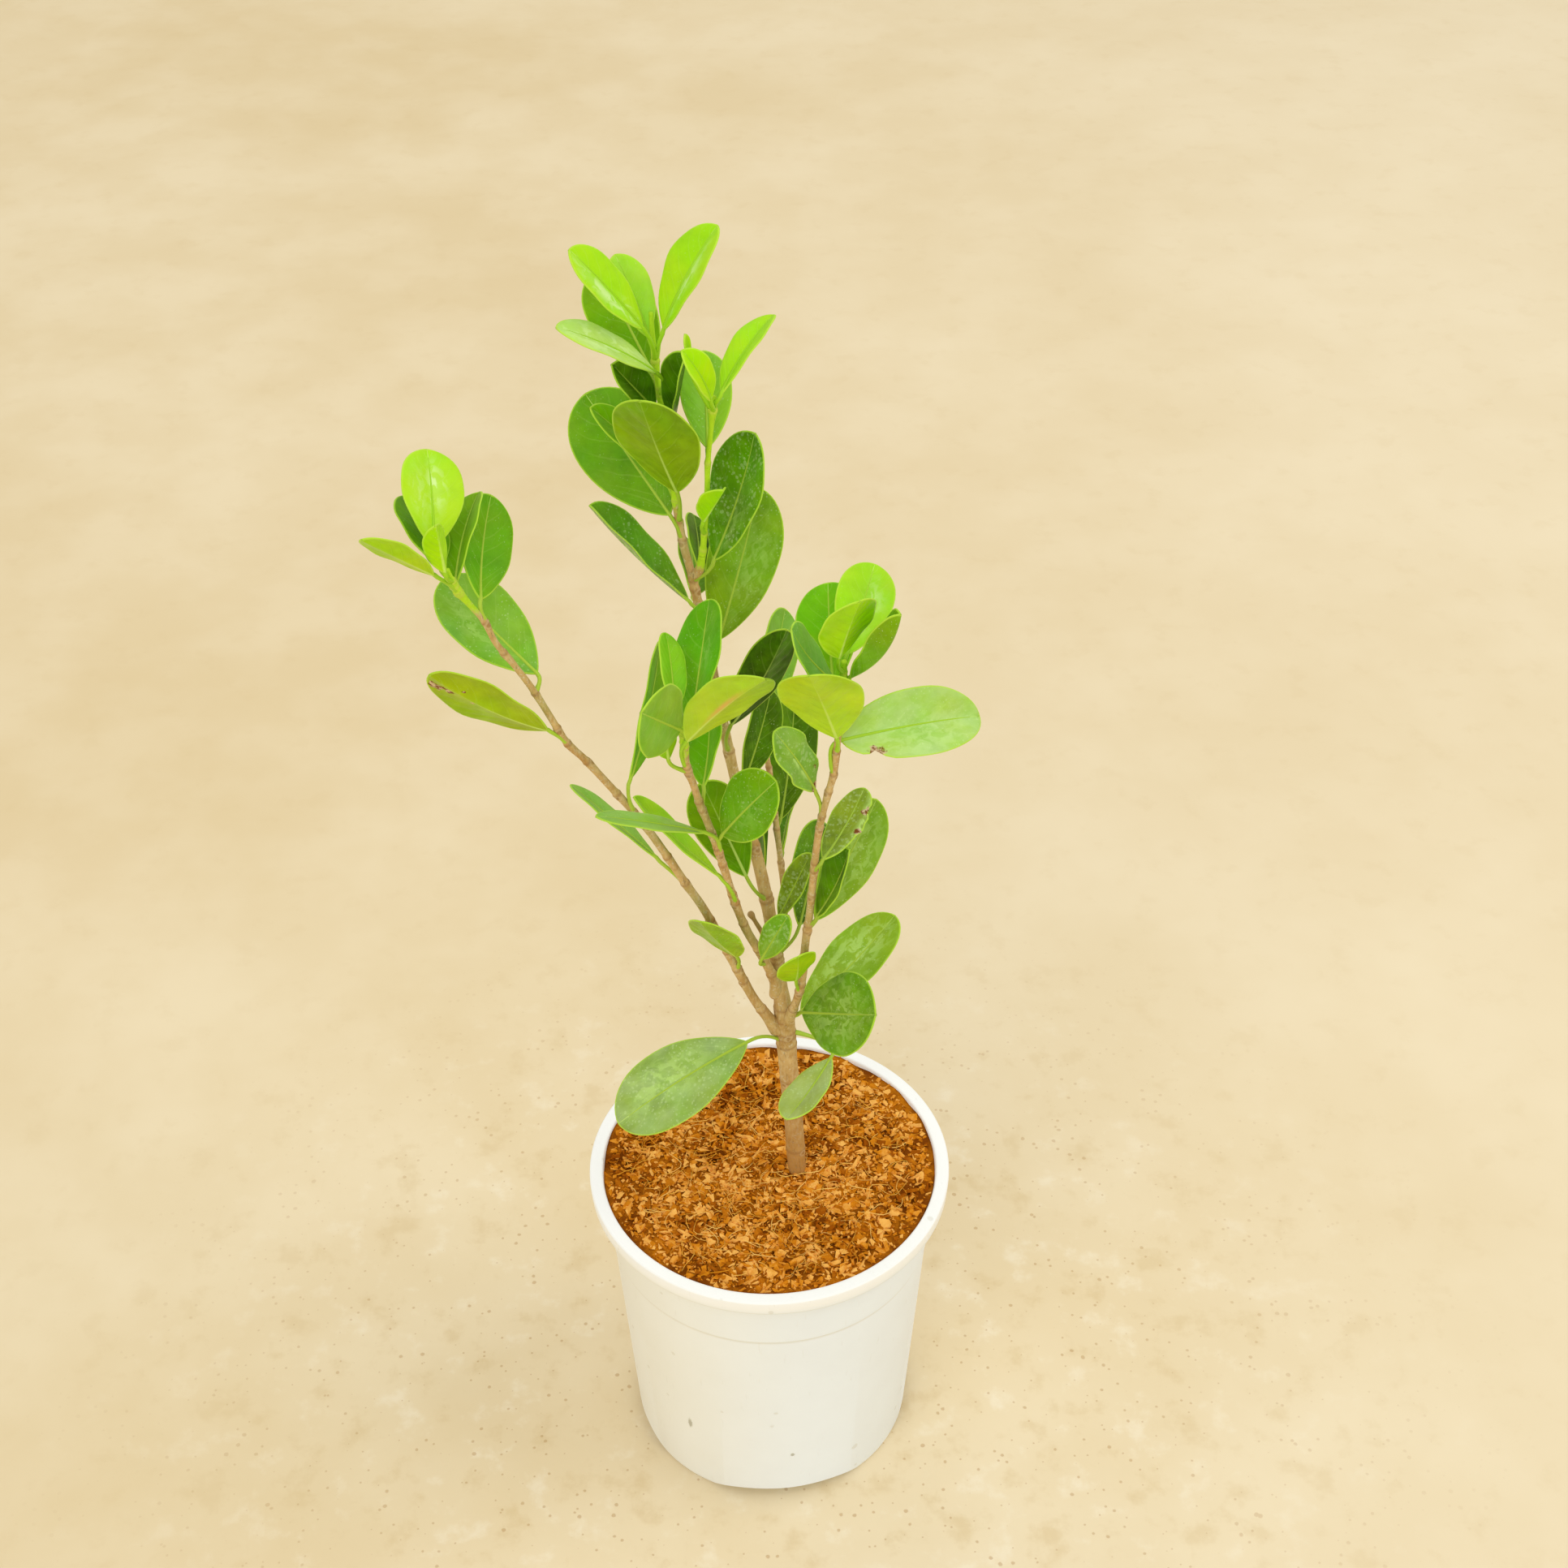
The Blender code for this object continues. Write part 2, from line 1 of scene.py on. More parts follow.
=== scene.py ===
"""Looks of a young fig in a nursery pot: fine leaves, bark, coconut fibre, white plastic, floor and daylight.

Lengths are in millimetres in the frame's own axes until a piece is made, which scales them to metres.
Minus y is the front, from where the camera looks down on the plant.
"""
import math

import bmesh
import bpy
import numpy as np
from mathutils import Matrix, Vector, noise


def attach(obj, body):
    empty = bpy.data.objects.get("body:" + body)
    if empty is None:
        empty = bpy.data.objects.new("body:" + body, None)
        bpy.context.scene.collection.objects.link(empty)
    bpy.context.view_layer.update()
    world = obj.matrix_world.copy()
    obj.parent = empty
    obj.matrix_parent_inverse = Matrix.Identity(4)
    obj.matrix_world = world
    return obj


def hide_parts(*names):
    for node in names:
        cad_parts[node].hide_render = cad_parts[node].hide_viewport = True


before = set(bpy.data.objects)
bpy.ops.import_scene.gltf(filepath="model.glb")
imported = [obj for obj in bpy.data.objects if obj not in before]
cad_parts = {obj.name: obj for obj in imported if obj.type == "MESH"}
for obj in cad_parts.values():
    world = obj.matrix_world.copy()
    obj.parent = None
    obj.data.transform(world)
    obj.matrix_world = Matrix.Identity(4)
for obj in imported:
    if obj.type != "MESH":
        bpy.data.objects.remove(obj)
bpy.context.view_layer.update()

MM = 0.001
BLADE_MAP = "blade"
BARK_MAP = "bark"

# Places of the materials on a leafy piece
UPPER, UNDER, STALK = 0, 1, 2

# Camera, from the pot's rim and foot in the photograph: place in metres, turns in degrees, lens in mm
CAMERA_PLACE = (0.006, -0.588, 0.769)
CAMERA_DOWN = 38.8
CAMERA_ROLL = -0.35
CAMERA_LENS = 56
CAMERA_SENSOR = 36

# Daylight in open shade. For each soft light: its place, the place that it faces and its size in metres,
# and its power in watts.
SKY_COLOR = (1.0, 0.99, 0.96)
SKY_STRENGTH = 0.76
LIGHT_COLOR = (1.0, 1.0, 0.98)
LIGHTS = dict(
    sky_front=((-0.7, -2.0, 1.5), (0, 0, 0.2), 2.2, 17),
    sky_right=((1.6, 0.0, 2.1), (0, 0, 0.2), 1.8, 14),
    sky_back=((-0.6, 1.8, 2.4), (0, 0, 0.3), 2.4, 9),
)

# Half of the floor's side, in metres
FLOOR_REACH = 20

# Pot
POT_HEIGHT = 125.0
RIM_RADIUS = 63.5
RIM_BAND = 4.7
LIP_DROP = 6.0
WALL = 1.3
WALL_RADIUS_TOP = 58.0
FLARE_HEIGHT = 112.0
STEP_HEIGHT = 96.0
STEP_DEPTH = 0.4
BASE_RADIUS = 51.0
POT_SIDES = 192
DRAIN_HEIGHT = 4.5
DRAIN_DEPTH = 9.0
DRAIN_WIDTH = 58.0
DRAIN_ANGLES = [-83, 7, 97, 187]
FLOOR_THICKNESS = DRAIN_HEIGHT + WALL

# Scuffs on the pot: place in metres, closeness of their limits along each axis, and strength
SCUFFS = [
    ((-0.0294, -0.0443, 0.0345), (1000, 300, 280), 0.7),
    ((0.0077, -0.052, 0.026), (1000, 300, 900), 0.7),
]

# Coconut fibre
SOIL_LEVEL = 123.5
SOIL_RELIEF = 0.55
# The bed's gap to the pot and to the rim's edge, and how deep it lies under the loose chips
BED_GAP = 0.3
RIM_GAP = 0.25
CHIP_DEPTH = 0.7
BED_SIDES = 120
BED_RINGS = 44
# Loose chips: how many, their sizes, and the radius within which they lie
CHIPS_PER_SQUARE_METRE = 640000
CHIP_SIZES = [
    (2.4, 1.7, 0.7), (1.6, 1.3, 1.0), (3.6, 0.9, 0.6), (1.1, 1.0, 0.8), (2.0, 1.2, 0.5), (1.4, 1.2, 0.6),
]
CHIPS_REACH = 57.2
# Loose strands: how many, the length and bow of each, how thick, and the radius within which they lie
STRANDS_PER_SQUARE_METRE = 60000
STRAND_SHAPES = [(9, 2.5), (13, 3.5), (7, 1.2), (11, 5.0), (16, 2.0)]
STRAND_RADIUS = 0.17
STRANDS_REACH = 50.0

# Leaves
BLADE_THICKNESS = 0.6
BLADE_ROWS = 26
# How far the blade's own grid stays inside its outline, and how far the round margin stands out from it
MARGIN = 0.12
EDGE_REACH = 0.1
BASE_POWER = 0.8
TIP_POWER = 0.52
BLUNT_BASES = dict(D7=0.5)
HALF_COLUMNS = [0.07, 0.18, 0.33, 0.5, 0.68, 0.84, 0.94, 1]
BLADE_COLUMNS = [-u for u in reversed(HALF_COLUMNS)] + [0] + HALF_COLUMNS
STALK_RADIUS = 0.65
STALK_SIDES = 8

# Stems: a ring of the mesh each RING_STEP, and an old leaf node each NODE_STEP from the first one up,
# where no other node is nearer than NODE_ROOM. The bark turns green over the length of GREENING.
NODE_STEP = 17.0
NODE_ROOM = 4
FIRST_NODE = 14
FIRST_TRUNK_NODE = 22
RING_STEP = 0.6
GREENING = 16
STEM_SIDES = 18

# Each stem: points up its axis, radius at its foot and at its top, and the height above which it is green
STEMS = {
    "main_stem": dict(
        points=[(10.3, -1, 111.5), (9.6, -1, 127), (8.7, 0, 146), (6.8, 0, 174), (5.5, 0, 197), (4, 0, 214),
                (2, 1, 233), (0, 2, 248), (-2.2, 3, 261), (-5.6, 4, 277), (-8.9, 5, 293), (-11.9, 6, 311),
                (-14.5, 7, 329), (-17.3, 9, 346), (-20.7, 11, 366), (-23.8, 13, 381), (-26.5, 15, 409),
                (-28.7, 17, 427), (-29.8, 19, 441), (-30, 20, 448)],
        foot=3.4, top=0.7, green_from=388),
    "left_branch": dict(
        points=[(3.3, -1, 191), (-0.4, -3, 200), (-4.6, -5, 210), (-9.7, -8, 226), (-15, -11, 243),
                (-20.3, -14, 259), (-25, -16, 270), (-30, -18, 282.5), (-35.4, -21, 296), (-40.2, -23, 306),
                (-46.3, -26, 318), (-51.8, -28, 328), (-56.9, -30, 336.5), (-61.1, -32, 348),
                (-65.1, -34, 359), (-69.5, -36, 369), (-73.4, -38, 377.5), (-75.6, -40, 386),
                (-78.8, -41, 392), (-82, -43, 399), (-83.7, -44.5, 406)],
        foot=1.7, top=0.8, green_from=392),
    "middle_branch": dict(
        points=[(3, 0, 207), (2.4, -3, 216), (-1.7, -8, 232), (-6.1, -13, 247), (-9.9, -18, 265),
                (-12.3, -22, 280), (-14.4, -26, 293), (-16.8, -29, 305), (-18.9, -32, 315), (-20.5, -34, 324),
                (-21.9, -36, 331), (-22.3, -38, 339), (-22.6, -40, 349)],
        foot=1.6, top=1.0, green_from=338),
    "right_branch": dict(
        points=[(6, -1, 192), (7.4, -3, 199), (10.1, -8, 213), (11.7, -12, 227), (12.4, -16, 243),
                (13.6, -20, 259), (14.5, -23, 273), (15.4, -27, 290), (16.3, -29, 301), (17.2, -31, 309),
                (19.1, -33, 320), (20.6, -35, 329), (21.2, -37, 338), (21.7, -39, 350), (22.5, -41, 363),
                (22.8, -43, 374)],
        foot=1.5, top=0.9, green_from=352),
    "back_branch": dict(
        points=[(3.3, 1, 208), (3.5, 4, 216), (4.9, 7, 226), (6, 10, 236), (5, 13, 250.5), (3.5, 16, 265.5),
                (2, 19, 281), (0, 21.5, 295.5), (-0.5, 23, 306)],
        foot=1.1, top=0.8, green_from=296),
    "side_shoot": dict(
        points=[(-20.7, 11, 366), (-18.4, 9, 370), (-17.2, 7, 377.5), (-16.2, 5, 388.5), (-15.4, 4, 398.5),
                (-14.9, 3, 409.5), (-14, 2, 418.5), (-13.1, 1, 427), (-12.6, 0.5, 432.5)],
        foot=0.9, top=0.7, green_from=372),
}

# Below the forks the trunk keeps its full thickness, which ends over TRUNK_TAPER
TRUNK_RADIUS = 3.25
TRUNK_TOP = 226
TRUNK_TAPER = 30

# Height at which each branch leaves the collar that the main stem carries for it
COLLAR_TOPS = dict(left_branch=206, middle_branch=233, right_branch=213, back_branch=231, side_shoot=376)
COLLAR_GAP = 0.3

# Dead twig below the fork of the middle branch
TWIG = [(2.8, 0.5, 225), (-1.1, -2, 235.5), (-5.2, -5, 247.5)]

# Leaves: name, height on the stem where the stalk leaves it (or that place itself), blade's base,
# blade's tip, width, roll about its length, fold of each half and rise of the arch as a share of length
LEAVES = {
    "main_stem": [
        ("T1", 434, (-32, 14.5, 445.5), (-51, 12, 471), 14.5, -30, 12, 0.02),
        ("T2", 436, (-31, 20, 440), (-40, 29, 461), 14, 0, 10, 0.03),
        ("T3", 434, (-26.5, 17.5, 443.5), (-11, 27, 470.5), 18, 0, 16, 0.05),
        ("T4", 426, (-30, 20, 428), (-46, 47, 447.5), 20, -20, 8, 0.03),
        ("T5", 424, (-28.5, 12, 433), (-55, 3, 452.5), 12.5, -15, 10, 0.045),
        ("T6", 413, (-29.5, 11.5, 421.5), (-41, 9, 438), 13, -45, 30, 0.0),
        ("T7", 411, (-24.5, 12, 417), (-20, 8, 442), 14, 65, 36, 0.0),
        ("M1", 384, (-24, 7, 397.5), (-32.5, -6, 435), 25.5, 15, 8, -0.02),
        ("M2", 378, (-26.5, 13, 386), (-51, 34, 414.5), 27, -35, 8, 0.0),
        ("M3", 391, (-29.5, 15, 399), (-48, 13, 422), 12, -25, 18, 0.03),
        ("M4", 355, (-21.5, 5, 361), (-50, 13.5, 389.5), 17, 8, 34, -0.03),
        ("M5", 365, (-14, 8, 373.5), (-1.5, 16.5, 411.5), 23, 5, 14, -0.04),
        ("M6", 341, (-13.5, 11.5, 342.5), (-1, 35.5, 381.5), 23, 40, 8, 0.03),
        ("M8", 357, (-21, 14, 357), (-23, 43, 358), 16, 45, 14, 0.03),
        ("M9", 362, (-19, 16, 365), (-21, 37, 371), 12, 45, 14, 0.03),
        ("L1", 247, (-6, -4.5, 262), (-19.5, 1.5, 296), 18.5, 130, 10, 0.03),
        ("L2", 249, (-0.5, 6.5, 254), (-6, 27, 285), 12, 70, 30, 0.0),
        ("L3", 287, (-7, 7.5, 290.5), (2, 26, 313.5), 14, 60, 14, 0.03),
        ("E1", 305, (-10, 0, 319), (7, 4.5, 351.5), 17.5, -80, 12, -0.05),
        ("D10L", 224, (10.5, 3.5, 233.5), (17.5, 29, 258), 17, 40, 10, 0.03),
        ("D12a", 222, (4, -2, 242), (14.5, -1.5, 269.5), 9.5, 45, 22, 0.0),
        ("D12b", (-0.4, -6.5, 227), (-1.5, -12.5, 234), (7.3, -13, 253.5), 10, 60, 14, 0.03),
        ("D13", 196, (11, 1, 197), (43.5, 30, 214.5), 23, -5, 10, -0.04),
        ("D14", 188, (11.5, -3.5, 201.5), (35, -28, 224), 28, 55, 6, -0.03),
        ("K1", 184, (-6.5, -8, 192.5), (-49.5, -29, 175.5), 26, -25, 6, 0.09),
        ("K2", 190, (21.5, -6, 183), (6, -29, 177), 15.5, 15, 12, -0.04),
    ],
    "left_branch": [
        ("B1", 400, (-87.5, -39, 409.5), (-90, -17.5, 427), 18.5, 25, 10, 0.04),
        ("B2", 402, (-83.5, -48.5, 407.5), (-84.5, -50, 423.5), 9, 80, 30, 0.0),
        ("B3", 398, (-86.5, -48, 406.5), (-102.5, -58, 424.5), 12, 40, 12, 0.0),
        ("B4", 402, (-86, -40.5, 403.5), (-97, -21, 414.5), 16, 25, 12, 0.02),
        ("B5", 397, (-82, -40.5, 399), (-77, -17, 413), 16, -35, 20, 0.05),
        ("B6", 386, (-76.5, -38.5, 392), (-75, -9.5, 407.5), 19, 45, 8, -0.05),
        ("B7", 357, (-63.5, -30.5, 361), (-91, -9, 379), 22, -15, 8, -0.01),
        ("B8", 336, (-61.5, -32.5, 342.5), (-93, -37, 366), 22, 60, 6, -0.05),
        ("B9", 270, (-33.5, -14.5, 278.5), (-61, 8, 290), 13.5, 35, 10, 0.0),
        ("B10", 304, (-40, -22.5, 316), (-31, 9.5, 344), 16.5, 80, 12, 0.025),
        ("B11", 226, (-9.5, -13.5, 236), (-20, -27, 263.5), 17, 15, 8, -0.02),
    ],
    "middle_branch": [
        ("C1", 343, (-20, -36.5, 346.5), (-15, -6.5, 370), 20.5, -40, 12, 0.0),
        ("C2", 346, (-25, -41.5, 354), (-27.7, -17.5, 366), 10.5, 40, 14, 0.03),
        ("C4", 341, (-23, -43, 350.5), (-32.5, -64.5, 373), 22, -95, 10, -0.02),
        ("C5", 332, (-21.5, -41.5, 345), (1, -49.5, 373), 22, -50, 12, 0.035),
        ("C6", 330, (-27, -40, 337.5), (-27.5, -44, 351), 8, 35, 14, 0.0),
        ("C7", 312, (-17.5, -28.5, 318), (-16, -2, 329.5), 17.5, -50, 14, -0.03),
        ("C10", 293, (-12.5, -29, 300), (4, -38, 328), 20, 65, 8, 0.03),
        ("C11", 290, (-17.5, -31, 302.5), (-49, -40.5, 317), 9.5, 5, 6, 0.015),
        ("C12", 263, (-14, -21.5, 277), (-40, -11, 300.5), 11.5, 15, 20, -0.03),
    ],
    "right_branch": [
        ("D1", 368, (23.5, -39.5, 373.5), (32, -11.5, 385), 17, 20, 8, 0.04),
        ("D2", 370, (21.2, -47.5, 378), (26.4, -51.7, 400), 19, -16, 8, 0.017),
        ("D3", 362, (20, -39, 362.5), (19, -7.5, 376), 19.5, -15, 10, 0.025),
        ("D4", 364, (20.5, -43, 366), (8, -47, 388), 15, -25, 8, -0.06),
        ("D5", 363, (24.5, -42.5, 368), (37.6, -50, 394.5), 15, 0, 48, -0.1),
        ("D6", 338, (21, -41.5, 346), (13, -58.5, 380.5), 24, 20, 8, 0.02),
        ("D7", 328, (22.3, -36, 341), (63.5, -17.3, 335.2), 22.3, 41, 23, 0.09),
        ("D8", 309, (15, -32.5, 319.5), (3, -36, 344.5), 13.5, -50, 10, 0.05),
        ("D9", 283, (17.5, -27, 288), (31, 0.5, 294), 12, 0, 8, -0.07),
        ("D10", 252, (15.5, -16, 253.5), (35, 7.5, 284), 20.5, 60, 10, 0.01),
        ("D11", 255, (16, -21, 259.5), (26, -21, 287.5), 15, 20, 26, -0.05),
        ("D15", 217, (9.5, -15.5, 227.5), (10, -26, 247.5), 14.5, 25, 8, -0.02),
    ],
    "back_branch": [
        ("L4", 265, (4.5, 17.5, 267), (9.5, 42, 300.5), 20, 45, 10, 0.03),
        ("L6", 253, (5.5, 16, 255), (11.5, 41.5, 264.5), 14, -55, 20, 0.03),
        ("E2", 294, (-2.5, 23, 306.5), (6.5, 52, 326), 18, 60, 14, 0.03),
    ],
    "side_shoot": [
        ("M7", 385, (-16.5, 1.5, 391), (-10.5, -0.5, 403), 11, -30, 30, 0.0),
        ("T9", 410, (-15, 6, 412.5), (-16, 28, 431.5), 15.5, 10, 10, 0.0),
        ("T10a", 428, (-13.5, -2.5, 432.5), (-21, -3.5, 449), 10, -40, 25, 0.08),
        ("T10c", 428, (-19, 1, 442), (-20, 1, 451.5), 3.5, -30, 10, 0.0),
        ("T11", 429, (-10.5, -0.5, 433.5), (4, 22.5, 445.5), 12, -20, 20, 0.045),
    ],
}

# How each leaf looks: age (0 is new and light, 1 is old and dark; on leaves deep inside the crown an age near
# 1 is partly painted shade), warmth (0 is a cool green, 1 is olive), grey bloom, partly painted glare,
# and dust, each from 0 to 1
LOOKS = dict(
    T1=(0.0, 0.43, 0.05, 0.1), T2=(0.08, 0.36, 0.25, 0.2), T3=(0.04, 0.42, 0.05, 0.1),
    T4=(0.64, 0.22, 0.0, 0.15), T5=(0.1, 0.5, 0.95, 0.3), T6=(0.9, 0.2, 0.0, 0.1),
    T7=(0.92, 0.2, 0.0, 0.1), M1=(0.58, 0.42, 0.0, 0.0), M2=(0.68, 0.15, 0.08, 0.2),
    M3=(0.5, 0.3, 0.0, 0.1), M4=(0.74, 0.2, 0.1, 0.5), M5=(0.8, 0.14, 0.0, 0.75),
    M6=(0.7, 0.34, 0.05, 0.35), M8=(0.6, 0.3, 0.0, 0.1), M9=(0.95, 0.2, 0.0, 0.1),
    L1=(0.74, 0.26, 0.0, 0.0), L2=(0.95, 0.2, 0.0, 0.1), L3=(0.97, 0.2, 0.0, 0.2),
    E1=(0.97, 0.2, 0.0, 0.0), D10L=(0.92, 0.2, 0.05, 0.5), D12a=(0.82, 0.62, 0.1, 0.9),
    D12b=(0.64, 0.3, 0.1, 0.8), D13=(0.6, 0.46, 0.05, 0.25), D14=(0.76, 0.26, 0.0, 0.3),
    K1=(0.72, 0.48, 0.8, 0.6), K2=(0.68, 0.7, 0.95, 0.5), B1=(0.0, 0.45, 0.1, 0.1),
    B2=(0.05, 0.45, 0.0, 0.0), B3=(0.2, 0.55, 0.0, 0.0), B4=(0.7, 0.22, 0.0, 0.1),
    B5=(0.58, 0.25, 0.0, 0.1), B6=(0.66, 0.16, 0.05, 0.15), B7=(0.58, 0.22, 0.28, 0.3),
    B8=(0.47, 0.62, 0.0, 0.0), B9=(0.52, 0.3, 0.35, 0.2), B10=(0.64, 0.15, 0.05, 0.1),
    B11=(0.44, 0.48, 0.05, 0.2), C1=(0.62, 0.06, 0.0, 0.2), C2=(0.38, 0.22, 0.1, 0.1),
    C4=(0.5, 0.33, 0.22, 0.1), C5=(0.2, 0.62, 0.08, 0.0), C6=(0.4, 0.3, 0.0, 0.0),
    C7=(0.58, 0.18, 0.0, 0.2), C10=(0.7, 0.22, 0.0, 0.4), C11=(0.4, 0.35, 0.6, 0.2),
    C12=(0.3, 0.4, 0.1, 0.1), D1=(0.08, 0.36, 0.08, 0.1), D2=(0.1, 0.36, 0.0, 0.0),
    D3=(0.42, 0.16, 0.0, 0.1), D4=(0.66, 0.16, 0.3, 0.3), D5=(0.55, 0.3, 0.0, 0.1),
    D6=(0.16, 0.62, 0.05, 0.0), D7=(0.3, 0.45, 1.0, 0.35), D8=(0.64, 0.32, 0.35, 0.8),
    D9=(0.8, 0.62, 0.15, 0.9), D10=(0.7, 0.38, 0.1, 0.35), D11=(0.88, 0.2, 0.0, 0.2),
    D15=(0.27, 0.5, 0.0, 0.0), L4=(0.96, 0.2, 0.0, 0.2), L6=(0.9, 0.2, 0.0, 0.2),
    E2=(0.66, 0.25, 0.3, 0.3), M7=(0.03, 0.42, 0.0, 0.0), T9=(0.42, 0.3, 0.25, 0.3),
    T10a=(0.0, 0.42, 0.0, 0.0), T10c=(0.0, 0.42, 0.0, 0.0), T11=(0.0, 0.42, 0.05, 0.1),
)

# Painted highlights, pale glossy streaks that stand for reflections of the sky: place across (-1 to 1),
# place along (0 to 1), reach across, reach along and strength
PAINTED_HIGHLIGHTS = dict(
    T1=[(-0.45, 0.5, 0.28, 0.4, 0.8), (0.1, 0.2, 0.3, 0.12, 0.5)],
    T3=[(0.34, 0.45, 0.2, 0.3, 0.7)],
    T5=[(0.0, 0.6, 0.8, 0.4, 0.7)],
    D7=[(0.3, 0.5, 0.8, 0.5, 0.3)],
    B1=[(0.12, 0.6, 0.24, 0.22, 0.8), (-0.5, 0.5, 0.2, 0.25, 0.35)],
    D1=[(0.3, 0.5, 0.3, 0.25, 0.45)],
    D8=[(-0.2, 0.5, 0.12, 0.4, 0.9)],
    D9=[(0.85, 0.6, 0.16, 0.3, 0.9)],
    K1=[(0.25, 0.6, 0.5, 0.3, 0.5)],
    D13=[(-0.1, 0.55, 0.8, 0.4, 0.6)],
    D14=[(0.0, 0.5, 0.9, 0.4, 0.4)],
    D10=[(0.2, 0.55, 0.7, 0.35, 0.4)],
    D12b=[(0.0, 0.5, 0.6, 0.3, 0.4)],
    M4=[(-0.3, 0.5, 0.3, 0.35, 0.4)],
    M5=[(0.3, 0.3, 0.5, 0.25, 0.25)],
    M6=[(0.4, 0.5, 0.5, 0.35, 0.25)],
    B7=[(-0.4, 0.6, 0.3, 0.25, 0.3)],
    C1=[(0.3, 0.6, 0.4, 0.25, 0.16)],
    C10=[(0.2, 0.5, 0.5, 0.3, 0.16)],
)

# Pink streaks, placed in the same way
BLUSHES = dict(C5=[(0.05, 0.5, 0.07, 0.2, 0.9)])

# Brown or dry marks on single leaves: place across (-1 to 1), place along (0 to 1) and radius
SCARS = dict(
    B8=[(0.35, 0.9, 3.6), (0.2, 0.8, 2.6), (0.1, 0.62, 1.3), (-0.2, 0.74, 1.2)],
    M2=[(0.2, 0.64, 2.8)],
    D7=[(0.6, 0.17, 4.2)],
    D9=[(0.7, 0.75, 2.4), (0.8, 0.5, 2.2)],
    D8=[(0.1, 0.05, 3.6), (0.5, 0.3, 1.5)],
)

# How much a leaf is rumpled, where it isn't as smooth as the others
RUMPLES = dict(D8=4.5, D9=2.5, D12a=2.0, D12b=2.5, M4=1.5)

# Pieces missing from the margin: side (-1 or 1), place along, half-width along and depth
BITES = dict(D7=[(1, 0.17, 0.04, 2.6)], D9=[(1, 0.76, 0.035, 1.3), (1, 0.6, 0.03, 0.8), (1, 0.42, 0.03, 0.7)])


# Small helpers


def unit(vector):
    return vector / np.linalg.norm(vector, axis=-1, keepdims=True)


def smooth_path(points, step):
    """Points every step along a smooth curve through the given ones."""
    points = np.array(points, float)
    padded = np.vstack([2 * points[0] - points[1], points, 2 * points[-1] - points[-2]])
    fine = []
    for a, b, c, d in zip(padded[:-3], padded[1:-2], padded[2:-1], padded[3:]):
        for t in np.linspace(0, 1, 12, endpoint=False):
            fine.append(0.5 * (2 * b + (c - a) * t + (2 * a - 5 * b + 4 * c - d) * t ** 2
                               + (3 * b - a - 3 * c + d) * t ** 3))
    fine = np.vstack([fine, points[-1]])
    run = arc_length(fine)
    count = max(2, int(round(run[-1] / step)))
    places = np.linspace(0, run[-1], count + 1)
    return np.stack([np.interp(places, run, fine[:, axis]) for axis in range(3)], 1)


def arc_length(points):
    steps = np.linalg.norm(np.diff(points, axis=0), axis=1)
    return np.concatenate([[0], np.cumsum(steps)])


def bell(distance, width):
    return np.exp(-(distance / width) ** 2)


def placed(name, data):
    """A new object in the scene, at the origin."""
    made = bpy.data.objects.new(name, data)
    bpy.context.scene.collection.objects.link(made)
    return made


class Skin:
    """Collects the closed shells of one piece, with their values at each point and a map for each corner."""

    def __init__(self):
        self.points = []
        self.faces = []
        self.maps = []
        self.finishes = []
        self.values = {}
        self.count = 0

    def add(self, points, faces, maps, finishes, **values):
        """maps has a (u, v) for each corner of each face. A value is one number, or one for each point."""
        self.faces += [tuple(v + self.count for v in face) for face in faces]
        self.points.append(np.asarray(points, float))
        self.maps += maps
        self.finishes += finishes
        for name, value in values.items():
            if name not in self.values:
                self.values[name] = [np.zeros(self.count)]
            self.values[name].append(np.broadcast_to(np.asarray(value, float), (len(points),)))
        for name in set(self.values) - set(values):
            self.values[name].append(np.zeros(len(points)))
        self.count += len(points)

    def make(self, name, materials, map_name):
        mesh = bpy.data.meshes.new(name)
        mesh.from_pydata((np.vstack(self.points) * MM).tolist(), [], self.faces)
        mesh.polygons.foreach_set("material_index", self.finishes)
        layer = mesh.uv_layers.new(name=map_name)
        corners = [corner for face in self.maps for corner in face]
        layer.uv.foreach_set("vector", np.array(corners, np.float32).ravel())
        for value_name, parts in self.values.items():
            attribute = mesh.attributes.new(value_name, "FLOAT", "POINT")
            attribute.data.foreach_set("value", np.concatenate(parts).astype(np.float32))
        for material in materials:
            mesh.materials.append(material)
        mesh.shade_smooth()
        mesh.update()
        return placed(name, mesh)


def tube_rings(path, radii, sides, bumps=None):
    """Rings of a tube round a path, carried along without twist. bumps adds to the radius at each point."""
    ahead = unit(np.gradient(path, axis=0))
    across = unit(np.cross(ahead[0], (0.3, 1.0, 0.1)))
    angles = 2 * math.pi * np.arange(sides) / sides
    rings = []
    for k, point in enumerate(path):
        across = unit(across - ahead[k] * (across @ ahead[k]))
        other = np.cross(ahead[k], across)
        radius = radii[k] + (bumps[k] if bumps is not None else 0)
        turns = np.outer(np.cos(angles), across) + np.outer(np.sin(angles), other)
        rings.append(point + turns * np.reshape(radius, (-1, 1)))
    return np.array(rings)


